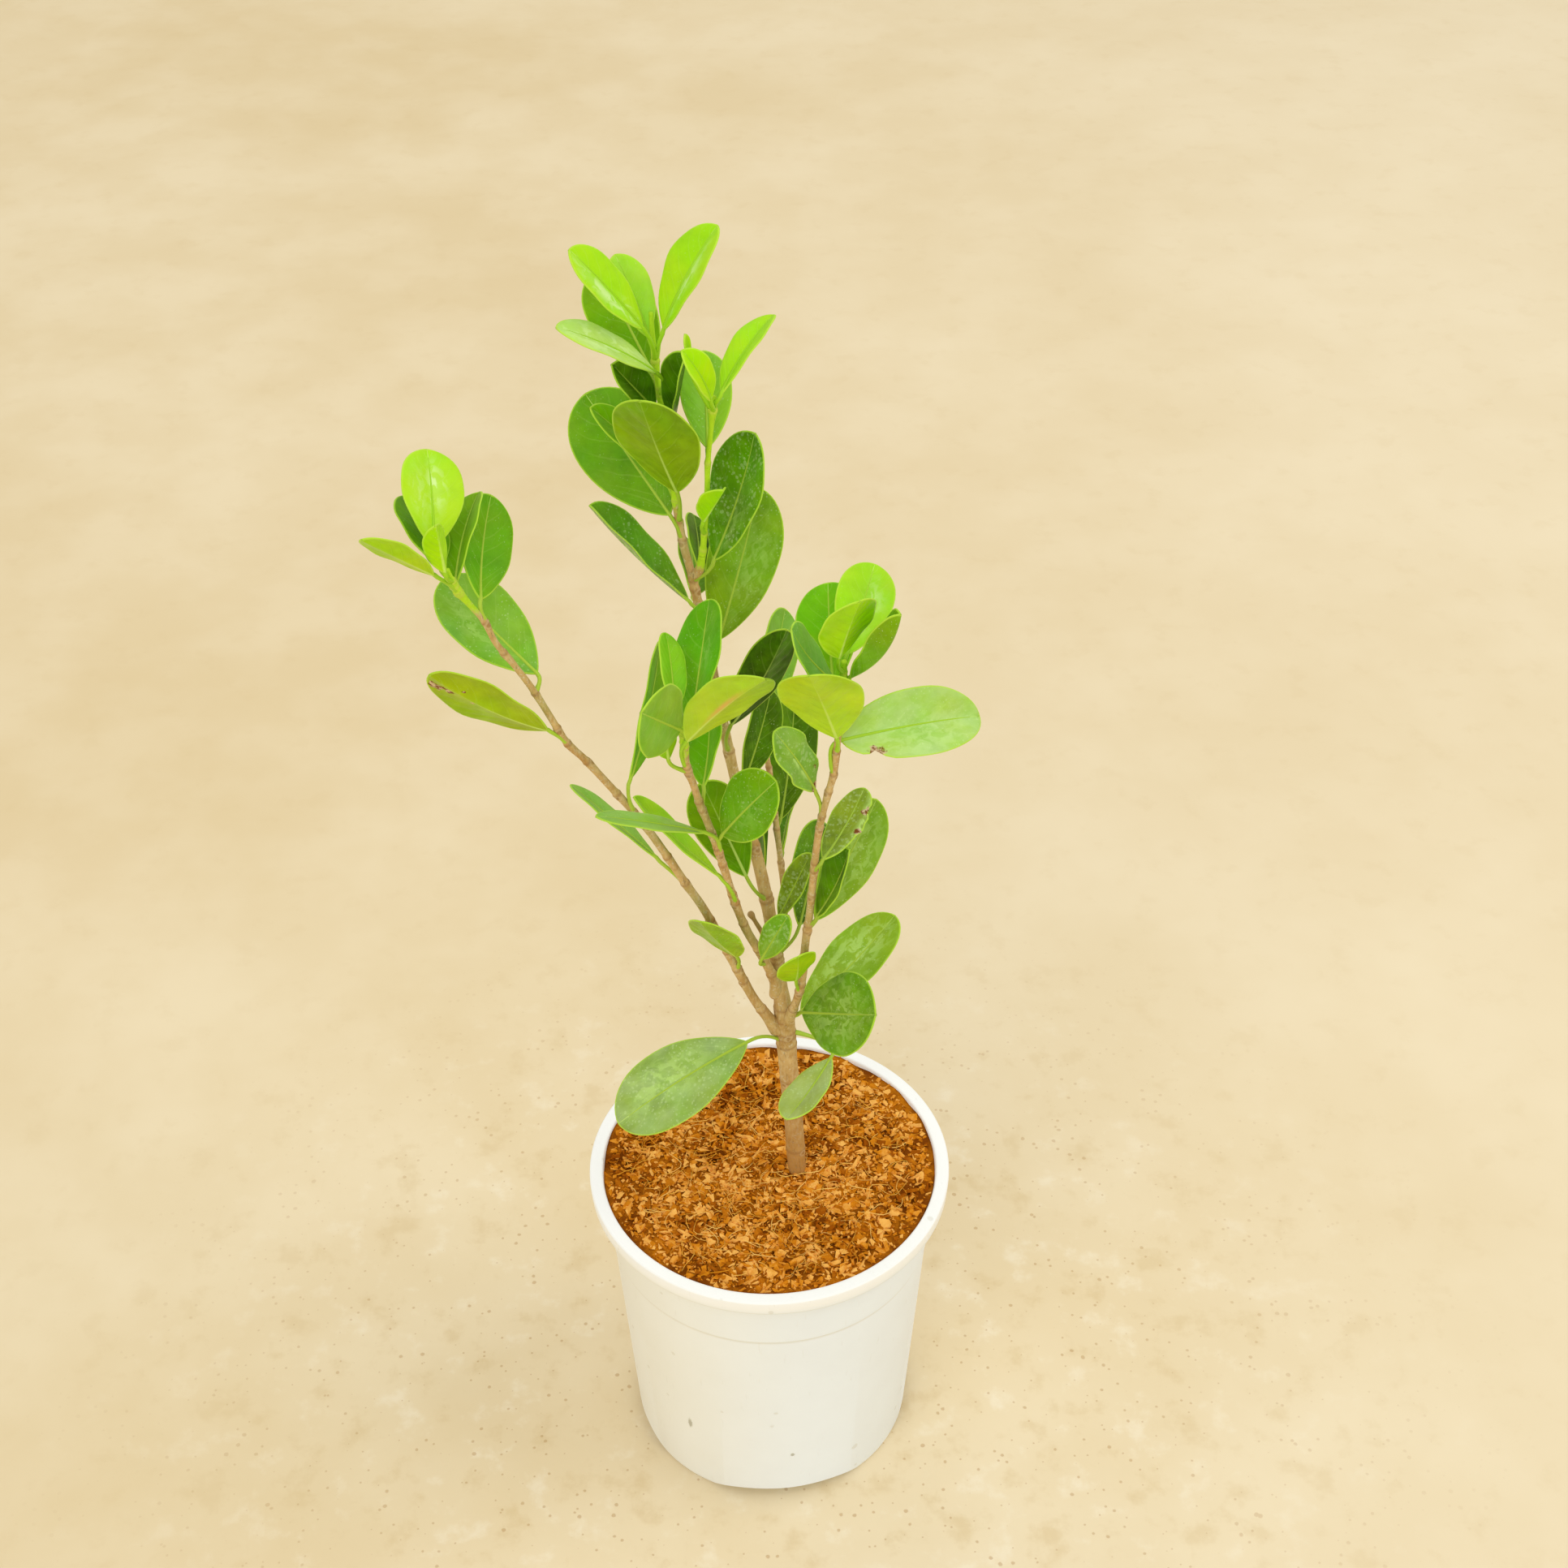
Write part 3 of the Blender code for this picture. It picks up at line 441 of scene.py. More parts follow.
def add_tube(skin, rings, run, finish, **values):
    """Adds a closed tube of rings. Its map is the share of a turn, and the distance along in centimetres."""
    count, sides = rings.shape[:2]
    faces, maps = [], []
    for k in range(count - 1):
        low, high = run[k] / 10, run[k + 1] / 10
        for i in range(sides):
            j = (i + 1) % sides
            faces.append((k * sides + i, k * sides + j, (k + 1) * sides + j, (k + 1) * sides + i))
            left, right = i / sides, (i + 1) / sides
            maps.append([(left, low), (right, low), (right, high), (left, high)])
    points = np.vstack([rings.reshape(-1, 3), rings[0].mean(0), rings[-1].mean(0)])
    top, first, last = (count - 1) * sides, count * sides, count * sides + 1
    for i in range(sides):
        j = (i + 1) % sides
        faces.append((j, i, first))
        maps.append([((i + 1) / sides, run[0] / 10), (i / sides, run[0] / 10), (i / sides, run[0] / 10)])
        faces.append((top + i, top + j, last))
        maps.append([(i / sides, run[-1] / 10), ((i + 1) / sides, run[-1] / 10), (i / sides, run[-1] / 10)])
    spread = {}
    for name, value in values.items():
        if np.ndim(value) == 1:
            value = np.repeat(value[:, None], sides, 1)
        if np.ndim(value) == 2:
            value = np.concatenate([value.ravel(), [value[0].mean(), value[-1].mean()]])
        spread[name] = value
    skin.add(points, faces, maps, [finish] * len(faces), **spread)


# Leaves


def blade_frame(base, tip, roll):
    """A leaf's length, its direction, the normal of its upper face and its right-hand side."""
    base, tip = np.array(base, float), np.array(tip, float)
    length = np.linalg.norm(tip - base)
    ahead = (tip - base) / length
    level = unit(np.cross(ahead, (0, 0, 1)))
    upright = np.cross(level, ahead)
    turn = math.radians(roll)
    normal = math.cos(turn) * upright + math.sin(turn) * level
    return base, length, ahead, normal, np.cross(ahead, normal)


def outline(t, power):
    """Half-width of a blade, as a share of its widest, from its base (0) to its tip (1)."""
    widest = power / (power + TIP_POWER)
    return t ** power * (1 - t) ** TIP_POWER / (widest ** power * (1 - widest) ** TIP_POWER)


def blade_middle(leaf, base, tip, width, roll, fold, arch, seed):
    """The blade's middle surface as a grid of points, with each point's place across and along."""
    base, length, ahead, normal, side = blade_frame(base, tip, roll)
    slope = math.radians(fold)
    k = np.arange(BLADE_ROWS + 1)
    t = (0.5 - 0.5 * np.cos(np.pi * k / BLADE_ROWS))[:, None]
    u = np.array(BLADE_COLUMNS, float)[None, :]
    half = 0.5 * width * outline(t, BLUNT_BASES.get(leaf, BASE_POWER)) - MARGIN
    half = np.maximum(half, 0.15) * np.ones_like(u)
    for bite_side, place, reach, depth in BITES.get(leaf, []):
        half = half - np.where(u * bite_side > 0, depth * bell(t - place, reach), 0)
    crease = (np.sqrt(u * u + 0.01) - 0.1) / (math.sqrt(1.01) - 0.1)
    belly = 0.06 * np.sin(np.pi * np.clip(np.abs(u), 0, 1)) * half
    across = u * half * math.cos(slope)
    lift = crease * half * math.sin(slope) + belly + length * arch * 4 * t * (1 - t)
    waves = np.sin(2 * np.pi * (2.2 * t + 0.37 * seed) + 2.0 * np.tanh(3 * u))
    ripple = 0.02 * width * RUMPLES.get(leaf, 1.0) * waves * u ** 2 * np.sin(np.pi * t)
    lift = lift + ripple
    forth = MARGIN + (length - 2 * MARGIN) * t
    middle = base + ahead * forth[..., None] + side * across[..., None] + normal * lift[..., None]
    return middle, u * np.ones_like(t), t * np.ones_like(u), half, length


def grid_normals(grid):
    along = np.gradient(grid, axis=0)
    across = np.gradient(grid, axis=1)
    return unit(np.cross(across, -along) + 1e-12)


def dense(loop):
    """Points every quarter of a millimetre or so along a loop."""
    run = arc_length(loop)
    places = np.linspace(0, run[-1], int(run[-1] / 0.25) + 2)
    return np.stack([np.interp(places, run, loop[:, axis]) for axis in range(2)], 1)


def blade_shell(middle, normals, u, places):
    """The faces of a blade: an upper and a lower one for each cell of the grid, and a round margin."""
    rows, columns = u.shape
    thick = BLADE_THICKNESS / 2 * np.sqrt(1 - 0.75 * np.abs(u) ** 8)
    upper = middle + normals * thick[..., None]
    lower = middle - normals * thick[..., None]
    index = np.arange(rows * columns).reshape(rows, columns)
    loop = np.concatenate([index[:, 0], index[-1, 1:], index[-2::-1, -1], index[0, -2:0:-1]])
    flat_middle = middle.reshape(-1, 3)
    flat_normals = normals.reshape(-1, 3)[loop]
    outward = unit(flat_middle[loop] - flat_middle.mean(0))
    outward = unit(outward - flat_normals * np.sum(outward * flat_normals, 1, keepdims=True))
    edge_points = flat_middle[loop] + outward * EDGE_REACH
    points = np.vstack([upper.reshape(-1, 3), lower.reshape(-1, 3), edge_points])
    count = rows * columns
    faces, maps, finishes = [], [], []

    def add_face(corners, finish):
        faces.append(tuple(int(c) for c in corners))
        spots = [c % count if c < 2 * count else loop[c - 2 * count] for c in corners]
        maps.append([tuple(places[s]) for s in spots])
        finishes.append(finish)

    for r in range(rows - 1):
        for c in range(columns - 1):
            a, b, d, e = index[r, c], index[r, c + 1], index[r + 1, c + 1], index[r + 1, c]
            add_face((a, b, d, e), UPPER)
            add_face((e + count, d + count, b + count, a + count), UNDER)
    for i, a in enumerate(loop):
        j = (i + 1) % len(loop)
        b = loop[j]
        edge_a, edge_b = 2 * count + i, 2 * count + j
        add_face((b, edge_b, edge_a, a), UPPER)
        add_face((edge_b, b + count, a + count, edge_a), UNDER)
    return points, faces, maps, finishes, loop


def blade_marks(leaf, u, t, flat, loop):
    """The marks and painted highlights at each point of a blade's grid, and how far it lies from the margin.
    """
    rim = dense(flat[np.append(loop, loop[0])])
    edge = np.min(np.linalg.norm(flat[:, None] - rim[None], axis=-1), 1)
    half_width, length = np.abs(flat).max(0)
    scar = np.zeros(len(flat))
    for place_u, place_t, radius in SCARS.get(leaf, []):
        spot = np.array([place_u * half_width, place_t * length])
        scar = np.maximum(scar, 1.4 - np.linalg.norm(flat - spot, axis=1) / radius)
    sheen, blush = np.zeros_like(u), np.zeros_like(u)
    for value, table in ((sheen, PAINTED_HIGHLIGHTS), (blush, BLUSHES)):
        for place_u, place_t, reach_u, reach_t, strength in table.get(leaf, []):
            value += strength * bell(u - place_u, reach_u) * bell(t - place_t, reach_t)
    return dict(edge=edge, share=t.ravel(), scar=scar, side=u.ravel(), sheen=sheen.ravel(),
                blush=blush.ravel())


def add_blade(skin, leaf, base, tip, width, roll, fold, arch, seed):
    """One blade: an upper and a lower face that meet in a round margin."""
    middle, u, t, half, length = blade_middle(leaf, base, tip, width, roll, fold, arch, seed)
    normals = grid_normals(middle)
    flat = np.stack([u * half, t * length], -1).reshape(-1, 2)
    points, faces, maps, finishes, loop = blade_shell(middle, normals, u, flat / 10)
    marks = blade_marks(leaf, u, t, flat, loop)
    values = {name: np.concatenate([value, value, value[loop]]) for name, value in marks.items()}
    values["edge"][2 * len(flat):] = 0
    age, warmth, bloom, dust = LOOKS[leaf]
    skin.add(points, faces, maps, finishes, **values,
             age=age, warmth=warmth, bloom=bloom, dust=dust, seed=seed)
    return middle[:, middle.shape[1] // 2], normals[:, middle.shape[1] // 2]


def add_stalk(skin, start, base, rib, rib_normals, age, seed):
    """The stalk and, as its end, the raised midrib under the blade."""
    start, base = np.array(start, float), np.array(base, float)
    ahead = unit(rib[-1] - rib[0])
    reach = np.linalg.norm(base - start)
    bend = base - ahead * reach * 0.4
    s = np.linspace(0, 1, 9)[:-1, None]
    neck = (1 - s) ** 2 * start + 2 * s * (1 - s) * bend + s ** 2 * base
    keep = slice(1, int(BLADE_ROWS * 0.86))
    under = rib[keep] - rib_normals[keep] * 0.28
    path = np.vstack([neck, under])
    share = np.linspace(0, 1, len(under))
    neck_radii = STALK_RADIUS * (1 + 0.55 * bell(s[:, 0], 0.2) - 0.1 * np.sin(np.pi * s[:, 0]))
    radii = np.concatenate([neck_radii, STALK_RADIUS * (0.95 - 0.8 * share)])
    rings = tube_rings(path, radii, STALK_SIDES)
    add_tube(skin, rings, arc_length(path), STALK, age=age, seed=seed)


def leaf_start(stem, height):
    """The place on a stem's axis at a height, or the place itself where that is given."""
    if isinstance(height, tuple):
        return np.array(height, float)
    path = smooth_path(STEMS[stem]["points"], RING_STEP)
    return np.array([np.interp(height, path[:, 2], path[:, axis]) for axis in range(3)])


def stem_leaves(stem, materials):
    """All the blades and stalks of one stem, as one piece."""
    skin = Skin()
    for number, (leaf, height, base, tip, width, roll, fold, arch) in enumerate(LEAVES[stem]):
        seed = (number * 0.618 + len(stem) * 0.37) % 1
        rib, rib_normals = add_blade(skin, leaf, base, tip, width, roll, fold, arch, seed)
        add_stalk(skin, leaf_start(stem, height), base, rib, rib_normals, LOOKS[leaf][0], seed)
    return skin.make(stem + "_leaves", materials, BLADE_MAP)


# Stems


def bark_rings(stem):
    """Rings of a whole stem with its leaf nodes, the distance along it, its path and its marks."""
    facts = STEMS[stem]
    path = smooth_path(facts["points"], RING_STEP)
    run = arc_length(path)
    share = run / run[-1]
    radii = facts["foot"] + (facts["top"] - facts["foot"]) * share ** 0.8
    if stem == "main_stem":
        below_top = np.clip((TRUNK_TOP - path[:, 2]) / TRUNK_TAPER, 0, 1)
        radii = np.maximum(radii, TRUNK_RADIUS * np.sqrt(below_top))
    nodes = [np.interp(row[1], path[:, 2], run) for row in LEAVES[stem] if not isinstance(row[1], tuple)]
    first = FIRST_NODE if stem in COLLAR_TOPS else FIRST_TRUNK_NODE
    places = np.arange(first, run[-1] - NODE_ROOM, NODE_STEP)
    old = [place for place in places if min(abs(place - node) for node in nodes) > NODE_ROOM]
    swell = np.zeros(len(path))
    for place in nodes + old:
        swell += 0.24 * bell(run - place, 0.7) + 0.12 * bell(run - place + 2, 2.4)
    if stem in COLLAR_TOPS:
        swell += 0.9 * bell(run, 9.0)
    angles = 2 * math.pi * np.arange(STEM_SIDES) / STEM_SIDES
    bumps = np.zeros((len(path), STEM_SIDES))
    for k in range(len(path)):
        for i, angle in enumerate(angles):
            spot = Vector((1.4 * math.cos(angle), 1.4 * math.sin(angle), run[k] * 0.07 + len(stem)))
            uneven = 0.85 + 0.4 * noise.noise(spot * 2.3)
            bumps[k, i] = 0.05 * radii[k] * noise.noise(spot) + swell[k] * uneven
    leaf_scar = np.full(bumps.shape, 16.0)
    for number, place in enumerate(sorted(nodes + old)):
        turn = 2.4 * number + len(stem)
        aside = 2 * radii[:, None] ** 2 * (1 - np.cos(angles - turn)[None, :])
        leaf_scar = np.minimum(leaf_scar, aside + (run - place + 1.1)[:, None] ** 2)
    bumps += 0.16 * np.exp(-leaf_scar / 1.2)
    green = np.clip((path[:, 2] - facts["green_from"]) / GREENING + 0.5, 0, 1)
    ring_mark = np.max([bell(run - place, 0.6) for place in nodes + old], axis=0)
    rings = tube_rings(path, radii, STEM_SIDES, bumps)
    return rings, run, path, dict(green=green, ring_mark=ring_mark, leaf_scar=leaf_scar)


def stem_bark(stem, bark):
    """One stem's bark. The main stem's also has the branches' collars and the dead twig."""
    skin = Skin()
    rings, run, path, marks = bark_rings(stem)
    first = collar_end(stem, path) if stem in COLLAR_TOPS else 0
    marks = {name: value[first:] for name, value in marks.items()}
    add_tube(skin, rings[first:], run[first:], 0, **marks)
    if stem == "main_stem":
        for branch in COLLAR_TOPS:
            rings, run, path, marks = bark_rings(branch)
            last = collar_end(branch, path) + 1
            marks = {name: value[:last] for name, value in marks.items()}
            add_tube(skin, rings[:last], run[:last], 0, **marks)
        add_twig(skin)
    return skin.make(stem + "_bark", [bark], BARK_MAP)


def collar_end(branch, path):
    """The ring of a branch's path nearest to its collar's top."""
    return int(np.argmin(np.abs(path[:, 2] - COLLAR_TOPS[branch] - COLLAR_GAP / 2)))


def add_twig(skin):
    """The dead twig, with a knob at its end."""
    path = smooth_path(TWIG, RING_STEP)
    run = arc_length(path)
    share = run / run[-1]
    radii = 0.9 - 0.25 * share + 0.5 * bell(share - 0.95, 0.07) + 0.35 * bell(share - 0.45, 0.04)
    radii[-1] = 0.35
    add_tube(skin, tube_rings(path, radii, 10), run, 0, ring_mark=0.8 * share, leaf_scar=16.0)


# Node helpers


class Tree:
    """Short calls that make and link nodes in one tree. Each returns an output socket."""

    def __init__(self, tree):
        self.tree = tree

    def node(self, kind, inputs=(), **settings):
        made = self.tree.nodes.new(kind)
        for name, value in settings.items():
            setattr(made, name, value)
        for socket, value in dict(inputs).items():
            self.put(made.inputs[socket], value)
        return made

    def put(self, socket, value):
        if isinstance(value, bpy.types.NodeSocket):
            self.tree.links.new(value, socket)
        elif value is not None:
            socket.default_value = value

    def math(self, operation, a, b=None, c=None, clamp=False):
        made = self.node("ShaderNodeMath", operation=operation, use_clamp=clamp)
        for socket, value in zip(made.inputs, (a, b, c)):
            self.put(socket, value)
        return made.outputs[0]

    def vector(self, operation, a, b=None):
        made = self.node("ShaderNodeVectorMath", operation=operation)
        self.put(made.inputs[0], a)
        self.put(made.inputs[1], b)
        return made.outputs["Value" if operation == "LENGTH" else "Vector"]

    def mix(self, factor, a, b, blend="MIX"):
        made = self.node("ShaderNodeMix", data_type="RGBA", blend_type=blend, clamp_factor=True)
        self.put(made.inputs[0], factor)
        self.put(made.inputs[6], a if isinstance(a, bpy.types.NodeSocket) else (*a, 1))
        self.put(made.inputs[7], b if isinstance(b, bpy.types.NodeSocket) else (*b, 1))
        return made.outputs[2]

    def fade(self, value, low, high, to_low=0.0, to_high=1.0):
        """A smooth step from low to high. low may be above high."""
        made = self.node("ShaderNodeMapRange", interpolation_type="SMOOTHSTEP")
        for name, number in zip(("Value", "From Min", "From Max", "To Min", "To Max"),
                                (value, low, high, to_low, to_high)):
            self.put(made.inputs[name], number)
        return made.outputs["Result"]

    def noise(self, vector, scale, detail=3.0, roughness=0.55, distortion=0.0):
        made = self.node("ShaderNodeTexNoise", {"Vector": vector, "Scale": scale, "Detail": detail,
                                                "Roughness": roughness, "Distortion": distortion})
        return made.outputs["Fac"]

    def cells(self, vector, scale, **settings):
        made = self.node("ShaderNodeTexVoronoi", {"Vector": vector, "Scale": scale}, **settings)
        return made.outputs["Distance"]

    def ramp(self, value, stops):
        made = self.node("ShaderNodeValToRGB", {"Fac": value})
        points = made.color_ramp.elements
        while len(points) < len(stops):
            points.new(0.5)
        for point, (place, color) in zip(points, stops):
            point.position = place
            point.color = (*color, 1)
        return made.outputs["Color"]

    def attribute(self, name):
        return self.node("ShaderNodeAttribute", attribute_name=name).outputs["Fac"]

    def group(self, tree, inputs=()):
        made = self.node("ShaderNodeGroup", node_tree=tree)
        for socket, value in dict(inputs).items():
            self.put(made.inputs[socket], value)
        return made.outputs

    def bump(self, height, strength, distance):
        made = self.node("ShaderNodeBump", {"Height": height, "Strength": strength, "Distance": distance})
        return made.outputs["Normal"]


def new_group(name, inputs, outputs):
    """A shader node group with float or vector inputs. Returns it, its tree and its input sockets."""
    group = bpy.data.node_groups.new(name, "ShaderNodeTree")
    for socket, default in inputs.items():
        kind = "NodeSocketVector" if default is None else "NodeSocketFloat"
        made = group.interface.new_socket(socket, in_out="INPUT", socket_type=kind)
        if default is not None:
            made.default_value = default
    for socket in outputs:
        group.interface.new_socket(socket, in_out="OUTPUT", socket_type="NodeSocketFloat")
    tree = Tree(group)
    return group, tree, tree.node("NodeGroupInput").outputs


def end_group(tree, **outputs):
    end = tree.node("NodeGroupOutput")
    for socket, value in outputs.items():
        tree.put(end.inputs[socket.replace("_", " ").capitalize()], value)


def new_material(name, roughness=0.5, **numbers):
    """A material with a Principled shader. Returns it, its tree and the shader's inputs."""
    material = bpy.data.materials.new(name)
    material.use_nodes = True
    shader = material.node_tree.nodes["Principled BSDF"]
    shader.inputs["Roughness"].default_value = roughness
    for socket, number in numbers.items():
        shader.inputs[socket.replace("_", " ")].default_value = number
    return material, Tree(material.node_tree), shader.inputs


# Shared effects


def vein_group():
    """Midrib and side veins of a blade, from the distance across in cm, the share along and the side."""
    group, tree, given = new_group(
        "blade_veins",
        {"Across": 0.0, "Share": 0.0, "Side": 0.0, "Waver": 0.0, "Rib width": 0.05, "Pairs": 7.0},
        ["Rib", "Laterals", "Height"])
    away = tree.math("ABSOLUTE", given["Across"])
    taper = tree.math("MULTIPLY_ADD", given["Share"], -0.75, 1.0)
    width = tree.math("MULTIPLY", given["Rib width"], taper)
    rib = tree.fade(tree.math("DIVIDE", away, width), 1.5, 0.6)
    side = tree.math("ABSOLUTE", given["Side"])
    slant = tree.math("MULTIPLY_ADD", tree.math("POWER", side, 1.3), -0.3, given["Share"])
    uneven = tree.math("MULTIPLY_ADD", given["Waver"], 0.5, tree.math("MULTIPLY", slant, given["Pairs"]))
    offset = tree.math("ABSOLUTE", tree.math("SUBTRACT", tree.math("FRACT", uneven), 0.5))
    line = tree.fade(offset, 0.09, 0.0)
    acute = tree.math("ABSOLUTE", tree.math("MULTIPLY_ADD", side, -0.42, given["Share"]))
    basal = tree.fade(acute, 0.022, 0.004)
    fading = tree.fade(side, 1.0, 0.35)
    line = tree.math("MULTIPLY", tree.math("MAXIMUM", line, basal), fading)
    swell = tree.math("MULTIPLY", tree.math("SINE", tree.math("MULTIPLY", uneven, 2 * math.pi)), 0.12)
    grooves = tree.math("MAXIMUM", tree.math("MULTIPLY", rib, 0.1), tree.math("MULTIPLY", line, 0.12))
    height = tree.math("SUBTRACT", swell, grooves)
    end_group(tree, rib=rib, laterals=line, height=height)
    return group


def specks_group(name, dimensions):
    """Small irregular specks, as dust, dried drops or grit leave them."""
    group, tree, given = new_group(name, {"Vector": None, "Scale": 20.0, "Amount": 0.5}, ["Mask"])
    ragged = tree.noise(given["Vector"], tree.math("MULTIPLY", given["Scale"], 1.7), 3.0)
    distance = tree.cells(given["Vector"], given["Scale"], voronoi_dimensions=dimensions)
    rarity = tree.noise(given["Vector"], tree.math("MULTIPLY", given["Scale"], 0.31))
    size = tree.fade(rarity, 0.3, 0.7, 0.0, 0.8)
    reach = tree.math("MULTIPLY", size, tree.math("MULTIPLY", given["Amount"], ragged))
    excess = tree.math("SUBTRACT", reach, distance)
    end_group(tree, mask=tree.fade(excess, 0.0, 0.06))
    return group


def mottle_group():
    """Soft patches between 0 and 1, at two sizes."""
    group, tree, given = new_group("mottle", {"Vector": None, "Scale": 5.0, "Contrast": 1.0}, ["Value"])
    large = tree.noise(given["Vector"], given["Scale"], 2.0)
    small = tree.noise(given["Vector"], tree.math("MULTIPLY", given["Scale"], 3.7), 4.0, 0.6)
    both = tree.math("MULTIPLY_ADD", small, 0.4, tree.math("MULTIPLY", large, 0.6))
    centred = tree.math("SUBTRACT", both, 0.5)
    contrast = tree.math("MULTIPLY", given["Contrast"], 2.4)
    end_group(tree, value=tree.math("MULTIPLY_ADD", centred, contrast, 0.5, clamp=True))
    return group


# Materials

# How light a leaf is at each age, where an age near 1 is partly painted shade. Its tint then makes it a cool
# green or a warm olive one.
UPPER_LIGHTNESS = [(0.0, 0.76), (0.25, 0.62), (0.5, 0.44), (0.75, 0.28), (1.0, 0.08)]
UNDER_LIGHTNESS = [(0.0, 0.74), (0.25, 0.60), (0.5, 0.46), (0.75, 0.34), (1.0, 0.13)]
COOL_GREEN = (0.26, 1.0, 0.002)
WARM_GREEN = (0.92, 1.0, 0.006)
PALE_RIB = (0.66, 0.86, 0.20)
PALE_MARGIN = (0.52, 0.78, 0.06)
# A pale wash, partly a grey bloom and partly painted glare
BLOOM_AND_GLARE = (0.68, 0.84, 0.52)
# Colours of the painted highlights on new and on old leaves
PAINTED_HIGHLIGHT_NEW = (0.74, 0.93, 0.42)
PAINTED_HIGHLIGHT_OLD = (0.60, 0.86, 0.24)
BLUSH = (0.80, 0.40, 0.12)
DUST = (0.66, 0.82, 0.40)
SCAR_BROWN = (0.20, 0.06, 0.014)
SCAR_DRY = (0.66, 0.50, 0.30)

# Stalks, from new to old, darker also where their leaf is given painted shade, and the darker green of their
# patches
STALK_GREENS = [(0.0, (0.36, 0.68, 0.01)), (0.6, (0.44, 0.62, 0.05)), (1.0, (0.32, 0.46, 0.04))]
STALK_SHADE = (0.30, 0.44, 0.02)

# Bark
BARK_BROWN = (0.49, 0.27, 0.075)
BARK_TAN = (0.70, 0.49, 0.20)
BARK_OLIVE = (0.44, 0.41, 0.13)
BARK_STREAK = (0.76, 0.62, 0.36)
BARK_CRACK = (0.22, 0.11, 0.03)
BARK_DOT = (0.72, 0.60, 0.38)
FIBRE_STAIN = (0.47, 0.22, 0.035)
RING_BROWN = (0.33, 0.16, 0.05)
LEAF_SCAR_LIP = (0.78, 0.62, 0.36)
LEAF_SCAR_PIT = (0.24, 0.11, 0.035)
SHOOT_NEW = (0.52, 0.80, 0.02)
SHOOT_OLD = (0.36, 0.60, 0.015)
SHOOT_RING = (0.62, 0.50, 0.14)

# White plastic, with painted warm light on its left side, painted light on its rim top and painted shade
# below its step and lip
PLASTIC_CLEAN = [(0.85, 0.90, 0.94), (0.89, 0.95, 0.99)]
PLASTIC_PAINTED_WARM_LIGHT = [(0.86, 0.85, 0.76), (0.90, 0.90, 0.84)]
PLASTIC_RIM_PAINTED_LIGHT = (0.95, 0.95, 0.92)
PLASTIC_PAINTED_SHADE = (0.66, 0.60, 0.46)
PLASTIC_GRIT = (0.50, 0.44, 0.28)
PLASTIC_SCRATCH = (0.66, 0.62, 0.50)
PLASTIC_SCUFF = (0.34, 0.31, 0.20)

# Coconut fibre, from its darkest to its lightest brown
BED_BROWNS = [(0.20, 0.05, 0.002), (0.58, 0.19, 0.005), (0.8, 0.36, 0.05)]
CHIP_BROWNS = [(0.34, 0.085, 0.002), (0.72, 0.255, 0.010), (0.95, 0.50, 0.11)]
STRAND_BROWNS = [(0.62, 0.24, 0.01), (0.80, 0.42, 0.05), (0.92, 0.60, 0.16)]

# Floor
FLOOR_SAND = (0.755, 0.605, 0.355)
FLOOR_PALE = (0.83, 0.70, 0.465)
# Painted light, which makes the floor lighter towards the right
FLOOR_PAINTED_LIGHT = (0.88, 0.77, 0.56)
FLOOR_STAIN = (0.64, 0.47, 0.22)
FLOOR_WORN = (0.92, 0.84, 0.66)
FLOOR_CRUMB = (0.45, 0.24, 0.07)


def leaf_green(tree, own, patches, stops):
    """How old a leaf looks from place to place, with painted shade on leaves deep inside the crown, and its
    plain green.
    """
    youngest = tree.math("SUBTRACT", tree.attribute("age"), 0.14)
    age = tree.math("MULTIPLY_ADD", patches, 0.28, youngest, clamp=True)
    lightness = tree.ramp(age, [(place, (level, level, level)) for place, level in stops])
    drift = tree.fade(tree.noise(own, 0.55, 2.0), 0.3, 0.7, -0.1, 0.1)
    warmth = tree.math("ADD", tree.attribute("warmth"), drift, clamp=True)
    return age, tree.mix(1.0, lightness, tree.mix(warmth, COOL_GREEN, WARM_GREEN), "MULTIPLY")


def leaf_dust(tree, own, groups):
    """Dried specks and thin streaks of dust."""
    dust = tree.attribute("dust")
    specks = tree.group(groups["flecks"], {"Vector": own, "Scale": 6.5,
                                           "Amount": tree.math("MULTIPLY_ADD", dust, 1.15, 0.15)})
    streaks = tree.noise(tree.vector("MULTIPLY", own, (2.2, 1.0, 1.0)), 4.5, 6.0, 0.7, 0.5)
    film = tree.math("MULTIPLY", tree.fade(streaks, 0.53, 0.62), dust)
    return tree.math("MAXIMUM", tree.math("MULTIPLY", film, 0.36), tree.math("MULTIPLY", specks["Mask"], 0.8))


def leaf_scars(tree, own):
    """Brown and dry marks with a ragged limit: their mask and their colour."""
    ragged = tree.math("MULTIPLY_ADD", tree.noise(own, 4.5, 4.0, 0.7), 1.6, tree.attribute("scar"))
    color = tree.mix(tree.fade(tree.noise(own, 6.0, 3.0), 0.45, 0.6), SCAR_BROWN, SCAR_DRY)
    return tree.fade(ragged, 1.55, 1.75), color


